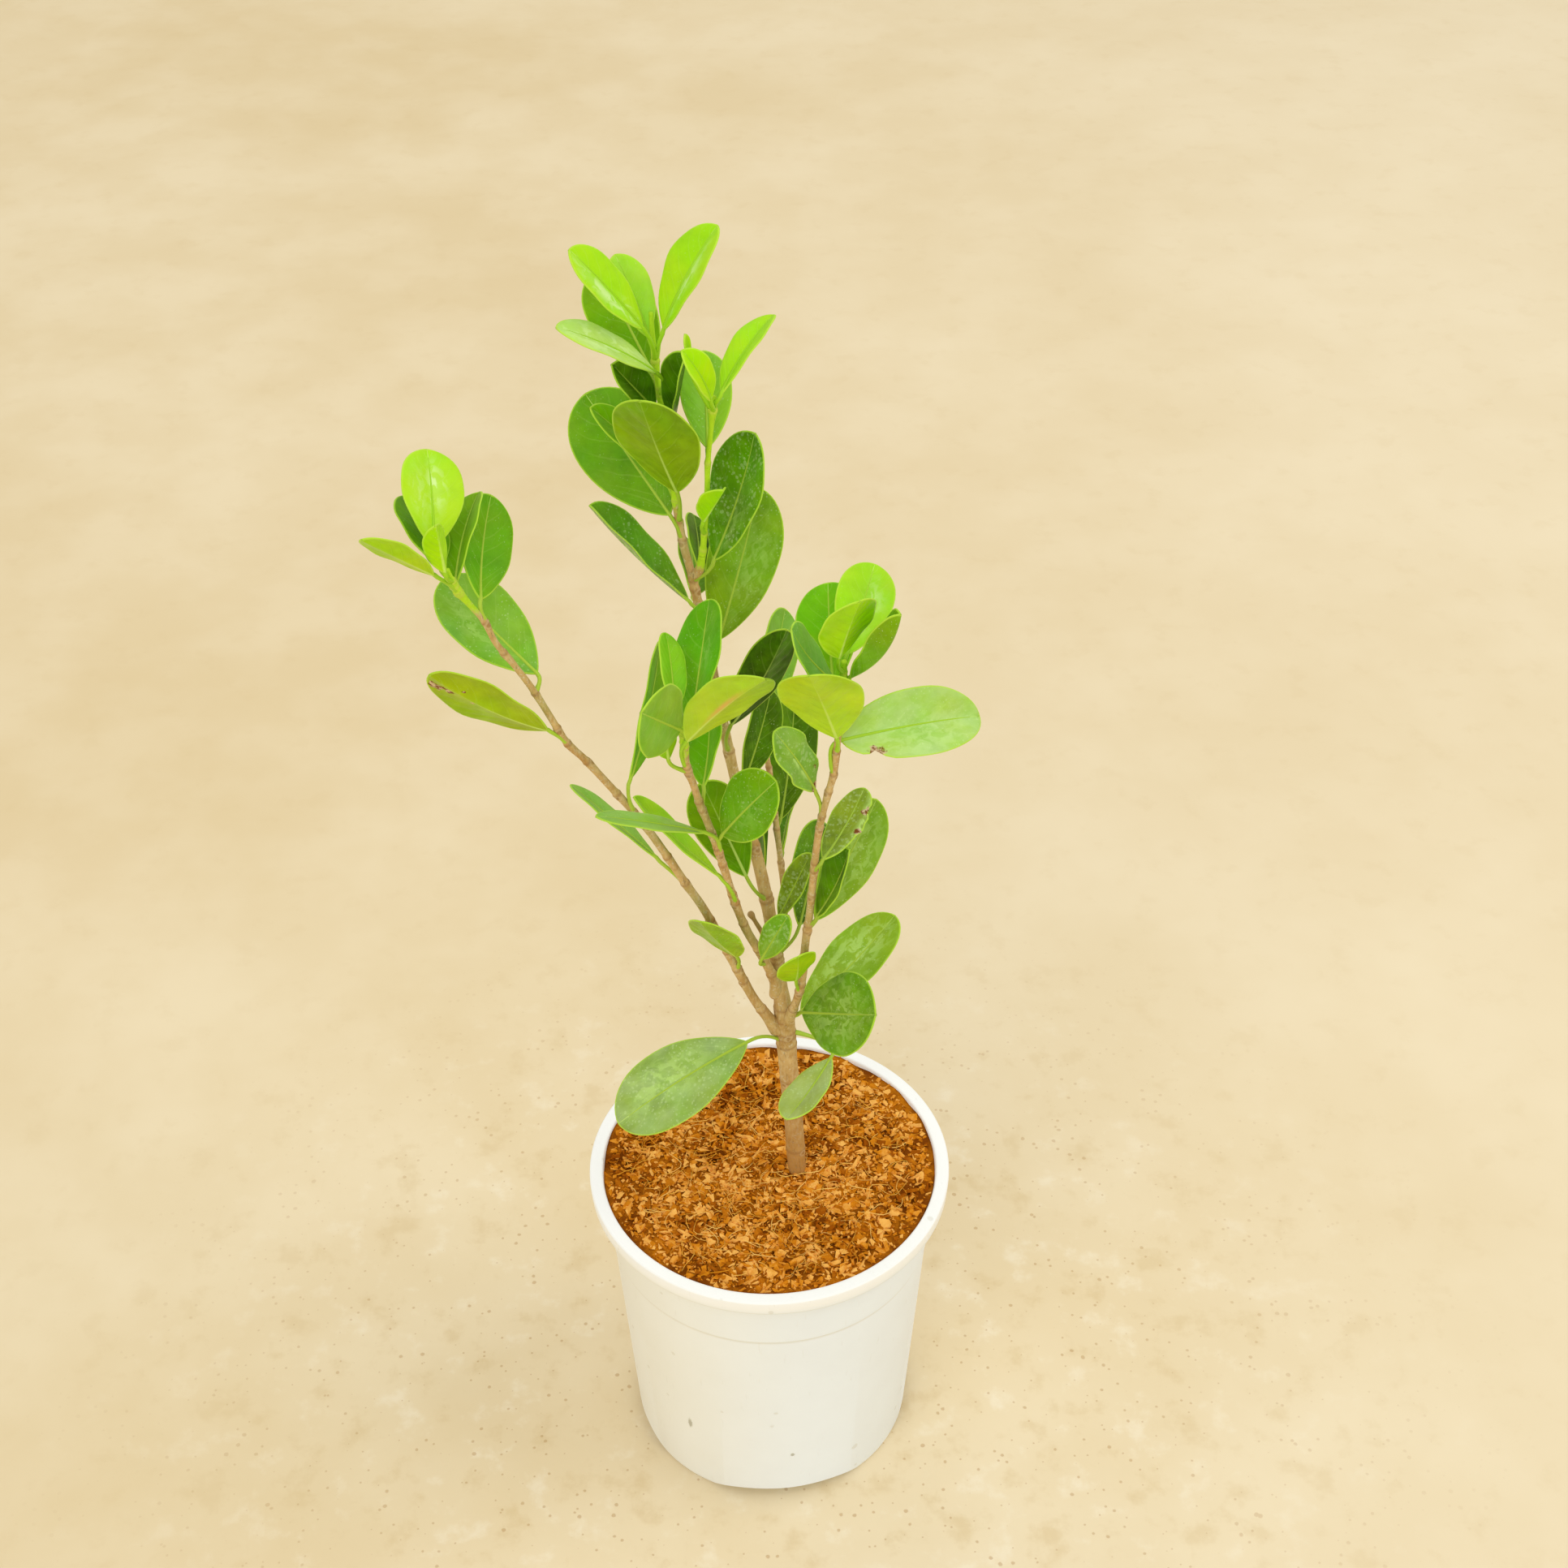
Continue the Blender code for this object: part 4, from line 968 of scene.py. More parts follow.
def leaf_material(name, underside, groups):
    """A leaf's face, with painted highlights and a pale wash that is partly painted glare. The underside is
    lighter and duller, and its veins are paler.
    """
    material, tree, shader = new_material(name, Specular_IOR_Level=0.2)
    shader["Specular Tint"].default_value = (0.8, 1.0, 0.3, 1)
    spot = tree.node("ShaderNodeUVMap", uv_map=BLADE_MAP).outputs["UV"]
    seed = tree.attribute("seed")
    shift = tree.node("ShaderNodeCombineXYZ", {"X": tree.math("MULTIPLY", seed, 37.0),
                                               "Y": tree.math("MULTIPLY", seed, 91.0), "Z": seed}).outputs[0]
    own = tree.vector("ADD", spot, shift)
    across = tree.node("ShaderNodeSeparateXYZ", {0: spot}).outputs["X"]
    share = tree.attribute("share")
    veins = tree.group(groups["veins"], {"Across": across, "Share": share, "Side": tree.attribute("side"),
                                         "Waver": tree.noise(own, 1.3, 2.0),
                                         "Rib width": 0.05 if underside else 0.036})
    patches = tree.group(groups["mottle"], {"Vector": own, "Scale": 0.8, "Contrast": 1.1})["Value"]
    age, color = leaf_green(tree, own, patches, UNDER_LIGHTNESS if underside else UPPER_LIGHTNESS)
    color = tree.mix(tree.math("MULTIPLY", veins["Laterals"], 0.09 if underside else 0.06), color, PALE_RIB)
    clouds = tree.noise(tree.vector("MULTIPLY", own, (1.6, 0.8, 1.0)), 1.1, 4.0)
    # A pale wash in soft clouds: partly a grey bloom, partly painted glare
    bloom = tree.math("MULTIPLY", tree.attribute("bloom"), tree.fade(clouds, 0.32, 0.68, 0.45, 1.0))
    color = tree.mix(tree.math("MULTIPLY", bloom, 0.35 if underside else 0.8), color, BLOOM_AND_GLARE)
    wrinkles = tree.noise(tree.vector("MULTIPLY", own, (1.5, 0.9, 1.0)), 2.6, 3.0, 0.5, 0.9)
    wrinkles = tree.fade(wrinkles, 0.45, 0.58)
    # Painted highlights: pale glossy streaks, broken up by the wrinkles
    sheen = tree.attribute("sheen")
    highlight_mask = tree.math("MULTIPLY", sheen, tree.math("MULTIPLY_ADD", wrinkles, 0.8, 0.2))
    color = tree.mix(highlight_mask, color, tree.mix(tree.fade(age, 0.2, 0.6), PAINTED_HIGHLIGHT_NEW, PAINTED_HIGHLIGHT_OLD))
    color = tree.mix(tree.attribute("blush"), color, BLUSH)
    base_rib, tip_rib = (0.7, 0.5) if underside else (0.6, 0.15)
    rib = tree.math("MULTIPLY", veins["Rib"], tree.fade(share, 0.1, 0.9, base_rib, tip_rib))
    color = tree.mix(rib, color, PALE_RIB)
    dust = leaf_dust(tree, own, groups)
    color = tree.mix(tree.math("MULTIPLY", dust, 0.3 if underside else 1.0), color, DUST)
    margin = tree.fade(tree.attribute("edge"), 0.5, 0.12, 0.0, 0.75)
    color = tree.mix(margin, color, PALE_MARGIN)
    scars, scar_color = leaf_scars(tree, own)
    tree.put(shader["Base Color"], tree.mix(scars, color, scar_color))
    rough = tree.math("MULTIPLY_ADD", dust, 0.3, 0.48 if underside else 0.3)
    rough = tree.math("MULTIPLY_ADD", patches, 0.1, rough)
    tree.put(shader["Roughness"], tree.math("MULTIPLY_ADD", scars, 0.3, rough))
    height = tree.math("MULTIPLY_ADD", tree.noise(own, 14.0, 2.0), 0.12, veins["Height"])
    height = tree.math("MULTIPLY_ADD", tree.noise(own, 1.6, 2.0), 1.3, height)
    height = tree.math("MULTIPLY_ADD", tree.math("MULTIPLY", wrinkles, sheen), 0.3, height)
    tree.put(shader["Normal"], tree.bump(height, 0.55 if underside else 0.75, 0.0004))
    return material


def stalk_material(groups):
    """Yellow-green stalks and midribs."""
    material, tree, shader = new_material("leaf_stalk", 0.45, Specular_IOR_Level=0.25)
    spot = tree.node("ShaderNodeTexCoord").outputs["Object"]
    patches = tree.group(groups["mottle"], {"Vector": spot, "Scale": 180.0})["Value"]
    color = tree.ramp(tree.attribute("age"), STALK_GREENS)
    tree.put(shader["Base Color"], tree.mix(tree.math("MULTIPLY", patches, 0.35), color, STALK_SHADE))
    tree.put(shader["Normal"], tree.bump(tree.noise(spot, 900.0), 0.3, 0.0002))
    return material


def bark_material(groups):
    """Thin tan bark with leaf scars, lenticels and fine cracks, turning green on the new shoots."""
    material, tree, shader = new_material("fig_bark", 0.7, Specular_IOR_Level=0.2)
    spot = tree.node("ShaderNodeTexCoord").outputs["Object"]
    along = tree.node("ShaderNodeUVMap", uv_map=BARK_MAP).outputs["UV"]
    patches = tree.group(groups["mottle"], {"Vector": spot, "Scale": 140.0, "Contrast": 1.5})["Value"]
    long_spot = tree.vector("MULTIPLY", spot, (1.0, 1.0, 0.22))
    streaks = tree.noise(long_spot, 1500.0, 5.0, 0.65)
    color = tree.mix(patches, BARK_BROWN, BARK_TAN)
    axes = tree.node("ShaderNodeSeparateXYZ", {0: spot}).outputs
    olive = tree.fade(tree.noise(spot, 45.0, 2.0), 0.42, 0.62, 0.0, 0.55)
    olive = tree.math("MULTIPLY", olive, tree.fade(axes["Z"], 0.17, 0.24))
    color = tree.mix(olive, color, BARK_OLIVE)
    color = tree.mix(tree.fade(streaks, 0.45, 0.72, 0.0, 0.5), color, BARK_STREAK)
    cracks = tree.fade(tree.noise(long_spot, 900.0, 6.0, 0.75, 0.4), 0.40, 0.33)
    color = tree.mix(tree.math("MULTIPLY", cracks, 0.4), color, BARK_CRACK)
    dots = tree.group(groups["specks"], {"Vector": spot, "Scale": 900.0, "Amount": 1.1})["Mask"]
    color = tree.mix(tree.math("MULTIPLY", dots, 0.6), color, BARK_DOT)
    color = tree.mix(tree.fade(axes["Z"], 0.165, 0.125, 0.0, 0.75), color, FIBRE_STAIN)
    marks = tree.attribute("ring_mark")
    color = tree.mix(tree.math("MULTIPLY", marks, 0.6), color, RING_BROWN)
    gap = tree.attribute("leaf_scar")
    lip = tree.math("MULTIPLY", tree.fade(gap, 2.6, 1.6), tree.fade(gap, 0.5, 1.0))
    color = tree.mix(tree.math("MULTIPLY", lip, 0.3), color, LEAF_SCAR_LIP)
    color = tree.mix(tree.fade(gap, 1.1, 0.2, 0.0, 0.4), color, LEAF_SCAR_PIT)
    shoot = tree.mix(tree.math("MULTIPLY", patches, 0.4), SHOOT_NEW, SHOOT_OLD)
    shoot = tree.mix(tree.math("MULTIPLY", marks, 0.35), shoot, SHOOT_RING)
    border = tree.math("MULTIPLY_ADD", tree.math("SUBTRACT", patches, 0.5), 0.5, tree.attribute("green"))
    tree.put(shader["Base Color"], tree.mix(tree.fade(border, 0.35, 0.65), color, shoot))
    rings = tree.noise(tree.vector("MULTIPLY", along, (2.0, 14.0, 1.0)), 3.0, 3.0)
    height = tree.math("MULTIPLY_ADD", cracks, -0.8, streaks)
    height = tree.math("MULTIPLY_ADD", rings, 0.5, height)
    tree.put(shader["Normal"], tree.bump(tree.math("MULTIPLY_ADD", dots, 0.5, height), 0.7, 0.0003))
    return material


def plastic_material(groups):
    """Satin white plastic, a little uneven, with fine scratches, grit and two scuffs on the front. Its left
    side is painted creamier as painted warm light, its rim top is painted whiter as painted light, and bands
    below the step and the lip are painted shade.
    """
    material, tree, shader = new_material("white_plastic_finish", 0.4, Specular_IOR_Level=0.35)
    spot = tree.node("ShaderNodeTexCoord").outputs["Object"]
    patches = tree.group(groups["mottle"], {"Vector": spot, "Scale": 22.0, "Contrast": 0.8})["Value"]
    axes = tree.node("ShaderNodeSeparateXYZ", {0: spot}).outputs
    clean = tree.mix(patches, *PLASTIC_CLEAN)
    # Painted warm light: the left side of the pot is creamier than the right
    painted_warm_light = tree.mix(patches, *PLASTIC_PAINTED_WARM_LIGHT)
    color = tree.mix(tree.fade(axes["X"], -0.05, 0.02), painted_warm_light, clean)
    # Painted light: the top of the rim is whiter than the wall
    color = tree.mix(tree.fade(axes["Z"], 0.118, 0.122), color, PLASTIC_RIM_PAINTED_LIGHT)
    # Painted shade: darker bands just below the step and just below the lip
    for height, reach, strength in ((STEP_HEIGHT, 1.6, 0.38), (POT_HEIGHT - LIP_DROP, 3.0, 0.35)):
        below = tree.fade(axes["Z"], MM * (height - reach), MM * height)
        painted_shade = tree.math("MULTIPLY", below, tree.fade(axes["Z"], MM * (height + 0.9), MM * (height + 0.2)))
        color = tree.mix(tree.math("MULTIPLY", painted_shade, strength), color, PLASTIC_PAINTED_SHADE)
    grit = tree.group(groups["specks"], {"Vector": spot, "Scale": 110.0, "Amount": 0.42})["Mask"]
    color = tree.mix(tree.math("MULTIPLY", grit, 0.25), color, PLASTIC_GRIT)
    scratch = tree.fade(tree.noise(tree.vector("MULTIPLY", spot, (1, 1, 0.12)), 700.0, 3.0), 0.66, 0.74)
    color = tree.mix(tree.math("MULTIPLY", scratch, 0.12), color, PLASTIC_SCRATCH)
    for place, reach, strength in SCUFFS:
        away = tree.vector("MULTIPLY", tree.vector("SUBTRACT", spot, place), reach)
        ragged = tree.math("MULTIPLY_ADD", tree.noise(spot, 1400.0), 0.8, tree.vector("LENGTH", away))
        blot = tree.fade(ragged, 1.4, 0.9)
        color = tree.mix(tree.math("MULTIPLY", blot, strength), color, PLASTIC_SCUFF)
    tree.put(shader["Base Color"], color)
    tree.put(shader["Roughness"], tree.math("MULTIPLY_ADD", patches, 0.12, 0.36))
    relief = tree.math("MULTIPLY_ADD", scratch, -0.3, tree.noise(spot, 60.0, 2.0))
    tree.put(shader["Normal"], tree.bump(relief, 0.25, 0.0006))
    return material


def fibre_material(name, browns, relief, groups):
    """Loose coconut fibre. The tint value of each loose piece picks its brown."""
    material, tree, shader = new_material(name, 0.9, Specular_IOR_Level=0.04)
    spot = tree.node("ShaderNodeTexCoord").outputs["Object"]
    grain = tree.noise(tree.vector("MULTIPLY", spot, (1.0, 1.0, 0.5)), 900.0, 5.0, 0.7)
    patches = tree.group(groups["mottle"], {"Vector": spot, "Scale": 48.0, "Contrast": 1.6})["Value"]
    tint = tree.math("MULTIPLY_ADD", grain, 0.5, tree.math("SUBTRACT", tree.attribute("tint"), 0.25))
    tint = tree.math("MULTIPLY_ADD", tree.math("SUBTRACT", patches, 0.5), 0.6, tint, clamp=True)
    tree.put(shader["Base Color"], tree.ramp(tint, list(zip((0.05, 0.5, 0.95), browns))))
    tree.put(shader["Normal"], tree.bump(grain, relief, 0.0005))
    return material


def floor_material(groups):
    """Plain pale floor: broad soft patches everywhere, painted light that makes it lighter towards the right,
    and fine grain and faint crumbs only near the pot.
    """
    material, tree, shader = new_material("pale_floor", 0.8, Specular_IOR_Level=0.1)
    spot = tree.node("ShaderNodeTexCoord").outputs["Object"]
    axes = tree.node("ShaderNodeSeparateXYZ", {0: spot}).outputs
    broad = tree.fade(tree.noise(spot, 3.5, 3.0, 0.5), 0.35, 0.65)
    patch = tree.fade(tree.noise(spot, 16.0, 3.0, 0.55), 0.35, 0.7)
    pale = tree.math("MULTIPLY_ADD", patch, 0.4, tree.math("MULTIPLY", broad, 0.6))
    color = tree.mix(pale, FLOOR_SAND, FLOOR_PALE)
    # Painted light: the floor is lighter towards the right
    color = tree.mix(tree.fade(axes["X"], -0.35, 0.6, 0.0, 0.45), color, FLOOR_PAINTED_LIGHT)
    near = tree.fade(tree.vector("LENGTH", spot), 0.32, 0.1)
    fine = tree.noise(spot, 55.0, 6.0, 0.6)
    stain = tree.math("MULTIPLY", tree.fade(fine, 0.52, 0.7), tree.math("MULTIPLY_ADD", near, 0.3, 0.1))
    color = tree.mix(stain, color, FLOOR_STAIN)
    worn = tree.math("MULTIPLY", tree.fade(fine, 0.46, 0.3), tree.math("MULTIPLY", near, 0.45))
    color = tree.mix(worn, color, FLOOR_WORN)
    crumbs = tree.group(groups["flecks"], {"Vector": spot, "Scale": 140.0, "Amount": 0.34})["Mask"]
    crumbs = tree.math("MULTIPLY", crumbs, tree.math("MULTIPLY", near, 0.45))
    color = tree.mix(crumbs, color, FLOOR_CRUMB)
    tree.put(shader["Base Color"], color)
    tree.put(shader["Normal"], tree.bump(tree.math("MULTIPLY", fine, near), 0.3, 0.0008))
    return material


# Pot


def wall_radius(height):
    """Outer radius of the pot's wall below the flare."""
    return BASE_RADIUS + (WALL_RADIUS_TOP - BASE_RADIUS) * height / FLARE_HEIGHT


def rounded(corner, radius, before, after, steps=4):
    """Points of a small arc that rounds a corner of the profile."""
    corner, before, after = (np.array(p, float) for p in (corner, before, after))
    start = corner + unit(before - corner) * radius
    end = corner + unit(after - corner) * radius
    s = np.linspace(0, 1, steps)[:, None]
    return [tuple(p) for p in (1 - s) ** 2 * start + 2 * s * (1 - s) * corner + s ** 2 * end]


def pot_profile():
    """The pot's section from the axis under its floor, up the outside, over the rim and down the inside."""
    rim_in = RIM_RADIUS - RIM_BAND
    lip_low = POT_HEIGHT - LIP_DROP
    corners = [
        ((0, 0), 0),
        ((BASE_RADIUS - 0.4, 0), 2.2),
        ((wall_radius(STEP_HEIGHT) - STEP_DEPTH, STEP_HEIGHT), 0.3),
        ((wall_radius(STEP_HEIGHT) + 0.1, STEP_HEIGHT + 0.7), 0.3),
        ((WALL_RADIUS_TOP, FLARE_HEIGHT), 3.0),
        ((rim_in + WALL, POT_HEIGHT - WALL - 0.5), 0.5),
        ((RIM_RADIUS - WALL, POT_HEIGHT - WALL - 0.5), 0.5),
        ((RIM_RADIUS - WALL - 0.3, lip_low), 0.4),
        ((RIM_RADIUS - 0.4, lip_low), 0.5),
        ((RIM_RADIUS, POT_HEIGHT), 1.1),
        ((rim_in, POT_HEIGHT), 0.8),
        ((WALL_RADIUS_TOP - WALL, FLARE_HEIGHT), 3.0),
        ((wall_radius(FLOOR_THICKNESS) - WALL, FLOOR_THICKNESS), 1.5),
        ((0, FLOOR_THICKNESS), 0),
    ]
    points = []
    for k, (corner, radius) in enumerate(corners):
        if radius == 0:
            points.append(corner)
        else:
            points += rounded(corner, radius, corners[k - 1][0], corners[k + 1][0])
    return points


def turned(name, profile, sides):
    """A closed turned solid whose profile's ends lie on the axis."""
    mesh = bmesh.new()
    rings = []
    for radius, height in profile[1:-1]:
        rings.append([mesh.verts.new((MM * radius * math.cos(a), MM * radius * math.sin(a), MM * height))
                      for a in 2 * math.pi * np.arange(sides) / sides])
    bottom = mesh.verts.new((0, 0, MM * profile[0][1]))
    top = mesh.verts.new((0, 0, MM * profile[-1][1]))
    for i in range(sides):
        j = (i + 1) % sides
        mesh.faces.new((bottom, rings[0][j], rings[0][i]))
        mesh.faces.new((rings[-1][i], rings[-1][j], top))
        for low, high in zip(rings[:-1], rings[1:]):
            mesh.faces.new((low[i], low[j], high[j], high[i]))
    data = bpy.data.meshes.new(name)
    mesh.to_mesh(data)
    mesh.free()
    return placed(name, data)


def drain_arch(angle):
    """A cutter for one wide, shallow arch across the pot's foot."""
    turn = Matrix.Rotation(math.radians(angle), 4, "Z")
    half = DRAIN_WIDTH / 2
    spans = np.linspace(-1, 1, 17)
    arch = [(half * s, DRAIN_HEIGHT * (1 - abs(s) ** 3) + 0.02) for s in spans]
    section = [(-half, -1)] + arch + [(half, -1)]
    near, far = BASE_RADIUS - DRAIN_DEPTH, BASE_RADIUS + 5
    verts = [turn @ Vector((reach, x, z)) * MM for reach in (near, far) for x, z in section]
    count = len(section)
    faces = [tuple(range(count)), tuple(range(2 * count - 1, count - 1, -1))]
    faces += [(i, i + count, (i + 1) % count + count, (i + 1) % count) for i in range(count)]
    mesh = bpy.data.meshes.new("drain_arch")
    mesh.from_pydata([tuple(v) for v in verts], [], faces)
    fixed = bmesh.new()
    fixed.from_mesh(mesh)
    bmesh.ops.recalc_face_normals(fixed, faces=fixed.faces)
    fixed.to_mesh(mesh)
    fixed.free()
    return placed("drain_arch", mesh)


def settle(piece):
    """Turns what a piece's modifiers make into its plain mesh."""
    bpy.context.view_layer.update()
    evaluated = piece.evaluated_get(bpy.context.evaluated_depsgraph_get())
    mesh = bpy.data.meshes.new_from_object(evaluated)
    piece.modifiers.clear()
    piece.data = mesh
    return piece


def pot_shell(material):
    """The pot with its rounded rim, step line and drain arches."""
    piece = turned("pot_shell", pot_profile(), POT_SIDES)
    for angle in DRAIN_ANGLES:
        cutter = drain_arch(angle)
        cut = piece.modifiers.new("drain", "BOOLEAN")
        cut.operation = "DIFFERENCE"
        cut.object = cutter
        cut.solver = "EXACT"
        settle(piece)
        bpy.data.objects.remove(cutter, do_unlink=True)
    piece.data.materials.clear()
    piece.data.materials.append(material)
    piece.data.shade_smooth()
    piece.data.set_sharp_from_angle(angle=math.radians(35))
    return piece


# Coconut fibre


def soil_height(x, y):
    """Height of the loose top of the coconut fibre, with soft heaps."""
    heaps = math.sin(x * 0.16 + 1.3) * math.cos(y * 0.19 - 0.4) + 0.6 * math.sin(x * 0.37 - y * 0.29 + 0.7)
    return SOIL_LEVEL + SOIL_RELIEF * heaps


def fibre_bed(material):
    """The fill of the pot: its top is finely lumpy."""
    top_radius = RIM_RADIUS - RIM_BAND - RIM_GAP
    skin = Skin()
    profile = [(wall_radius(FLOOR_THICKNESS) - WALL - BED_GAP, FLOOR_THICKNESS + BED_GAP),
               (WALL_RADIUS_TOP - WALL - BED_GAP, FLARE_HEIGHT)]
    angles = 2 * math.pi * np.arange(BED_SIDES) / BED_SIDES
    rings = [[(r * math.cos(a), r * math.sin(a), z) for a in angles] for r, z in profile]
    for k in range(BED_RINGS):
        radius = top_radius * (1 - k / BED_RINGS) ** 0.8
        ring = []
        for a in angles:
            x, y = radius * math.cos(a), radius * math.sin(a)
            lumps = 0.9 * noise.fractal(Vector((x, y, 0)) * 0.35, 0.8, 2.0, 4)
            rise = 0.6 * math.exp(-(k / 3) ** 2) + lumps * min(1, 8 * k / BED_RINGS)
            ring.append((x, y, soil_height(x, y) - CHIP_DEPTH + rise))
        rings.append(ring)
    points = [point for ring in rings for point in ring]
    points += [(0, 0, FLOOR_THICKNESS + BED_GAP), (0, 0, soil_height(0, 0) - CHIP_DEPTH)]
    faces = []
    for k in range(len(rings) - 1):
        for i in range(BED_SIDES):
            j = (i + 1) % BED_SIDES
            low, high = k * BED_SIDES, (k + 1) * BED_SIDES
            faces.append((low + i, low + j, high + j, high + i))
    last = (len(rings) - 1) * BED_SIDES
    for i in range(BED_SIDES):
        j = (i + 1) % BED_SIDES
        faces.append((j, i, len(points) - 2))
        faces.append((last + i, last + j, len(points) - 1))
    maps = [[(points[v][0] / 10, points[v][1] / 10) for v in face] for face in faces]
    skin.add(points, faces, maps, [0] * len(faces), tint=0.2)
    return skin.make("fibre_bed", [material], "flat")


def chip_shape(name, size, draw):
    """A broken chip of husk: the hull of a few points in a flat box."""
    mesh = bmesh.new()
    corners = draw.uniform(-0.5, 0.5, (9, 3))
    corners = corners / np.maximum(np.abs(corners).max(1, keepdims=True), 0.38) * 0.5
    for corner in corners:
        mesh.verts.new(Vector(corner * np.array(size) * MM))
    hull = bmesh.ops.convex_hull(mesh, input=mesh.verts)
    spare = [v for v in hull["geom_interior"] if isinstance(v, bmesh.types.BMVert)]
    bmesh.ops.delete(mesh, geom=spare, context="VERTS")
    bmesh.ops.recalc_face_normals(mesh, faces=mesh.faces)
    data = bpy.data.meshes.new(name)
    mesh.to_mesh(data)
    mesh.free()
    return bpy.data.objects.new(name, data)


def strand_shape(name, length, bow, draw):
    """A thin curved strand of husk."""
    s = np.linspace(-0.5, 0.5, 7)
    wander = bow * (np.cos(math.pi * s) - 0.5)
    path = np.stack([s * length, wander + 0.06 * length * np.sin(7 * s + draw.uniform(0, 6)),
                     0.05 * length * np.sin(5 * s + draw.uniform(0, 6))], 1)
    skin = Skin()
    radii = STRAND_RADIUS * (1 - 1.4 * np.abs(s) ** 2)
    add_tube(skin, tube_rings(path, radii, 3), arc_length(path), 0)
    strand = skin.make(name, [], "flat")
    bpy.context.scene.collection.objects.unlink(strand)
    return strand


def scatter_tree():
    """A node tree that strews loose pieces over a surface, turned, tilted and sized at random."""
    tree = bpy.data.node_groups.new("strew_loose_pieces", "GeometryNodeTree")
    sockets = tree.interface
    sockets.new_socket("Geometry", in_out="INPUT", socket_type="NodeSocketGeometry")
    for name, kind, default in [
            ("Pieces", "Collection", None), ("Density", "Float", 1000.0), ("Smallest", "Float", 0.5),
            ("Largest", "Float", 1.5), ("Rarity of large", "Float", 2.5), ("Tilt", "Float", 0.5),
            ("Seed", "Int", 1), ("Finish", "Material", None)]:
        socket = sockets.new_socket(name, in_out="INPUT", socket_type="NodeSocket" + kind)
        if default is not None:
            socket.default_value = default
    sockets.new_socket("Geometry", in_out="OUTPUT", socket_type="NodeSocketGeometry")
    t = Tree(tree)
    given = t.node("NodeGroupInput").outputs
    points = t.node("GeometryNodeDistributePointsOnFaces",
                    {"Mesh": given["Geometry"], "Density": given["Density"], "Seed": given["Seed"]})
    shapes = t.node("GeometryNodeCollectionInfo",
                    {"Collection": given["Pieces"], "Separate Children": True, "Reset Children": True})
    chance = t.node("FunctionNodeRandomValue", {"Seed": given["Seed"]}, data_type="FLOAT")
    steep = t.node("ShaderNodeMath", {0: chance.outputs[1], 1: given["Rarity of large"]}, operation="POWER")
    size = t.node("ShaderNodeMapRange", {"Value": steep.outputs[0], "To Min": given["Smallest"],
                                         "To Max": given["Largest"]})
    lean = t.node("ShaderNodeMath", {0: given["Tilt"], 1: -1.0}, operation="MULTIPLY")
    low = t.node("ShaderNodeCombineXYZ", {"X": lean.outputs[0], "Y": lean.outputs[0], "Z": 0.0})
    high = t.node("ShaderNodeCombineXYZ", {"X": given["Tilt"], "Y": given["Tilt"], "Z": 2 * math.pi})
    turn_seed = t.node("ShaderNodeMath", {0: given["Seed"], 1: 7.0}, operation="ADD")
    angles = t.node("FunctionNodeRandomValue",
                    {0: low.outputs[0], 1: high.outputs[0], "Seed": turn_seed.outputs[0]},
                    data_type="FLOAT_VECTOR")
    turned_by = t.node("FunctionNodeEulerToRotation", {0: angles.outputs[0]})
    laid = t.node("GeometryNodeInstanceOnPoints",
                  {"Points": points.outputs["Points"], "Instance": shapes.outputs[0], "Pick Instance": True,
                   "Rotation": turned_by.outputs[0], "Scale": size.outputs["Result"]})
    tint_seed = t.node("ShaderNodeMath", {0: given["Seed"], 1: 19.0}, operation="ADD")
    tint = t.node("FunctionNodeRandomValue", {"Seed": tint_seed.outputs[0]}, data_type="FLOAT")
    named = t.node("GeometryNodeStoreNamedAttribute",
                   {"Geometry": laid.outputs[0], "Name": "tint", "Value": tint.outputs[1]},
                   data_type="FLOAT", domain="INSTANCE")
    real = t.node("GeometryNodeRealizeInstances", {"Geometry": named.outputs[0]})
    finished = t.node("GeometryNodeSetMaterial", {"Geometry": real.outputs[0], "Material": given["Finish"]})
    end = t.node("NodeGroupOutput")
    t.put(end.inputs["Geometry"], finished.outputs[0])
    return tree


def strewn(name, tree, ground, shapes, finish, **numbers):
    """Strews shapes over the ground with the tree, and returns them as one plain mesh."""
    collection = bpy.data.collections.new(name + "_shapes")
    bpy.context.scene.collection.children.link(collection)
    for shape in shapes:
        collection.objects.link(shape)
    carrier = placed(name, ground)
    strew = carrier.modifiers.new("strew", "NODES")
    strew.node_group = tree
    values = {"Pieces": collection, "Finish": finish}
    values.update({key.replace("_", " ").capitalize(): value for key, value in numbers.items()})
    for item in tree.interface.items_tree:
        if item.in_out == "INPUT" and item.name in values:
            strew[item.identifier] = values[item.name]
    settle(carrier)
    for shape in shapes:
        bpy.data.objects.remove(shape, do_unlink=True)
    bpy.data.collections.remove(collection)
    return carrier


def strewing_ground(radius, lift):
    """The top of the coconut fibre as a plain sheet, to strew loose pieces on."""
    rings, sides = 24, 72
    points = [(0, 0, soil_height(0, 0) + lift)]
    for k in range(1, rings + 1):
        for i in range(sides):
            angle = 2 * math.pi * i / sides
            x, y = radius * k / rings * math.cos(angle), radius * k / rings * math.sin(angle)
            points.append((x, y, soil_height(x, y) + lift))
    faces = [(0, 1 + i, 1 + (i + 1) % sides) for i in range(sides)]
    for k in range(rings - 1):
        for i in range(sides):
            j = (i + 1) % sides
            low, high = 1 + k * sides, 1 + (k + 1) * sides
            faces.append((low + i, high + i, high + j, low + j))
    mesh = bpy.data.meshes.new("strewing_ground")
    mesh.from_pydata([tuple(MM * c for c in p) for p in points], [], faces)
    return mesh


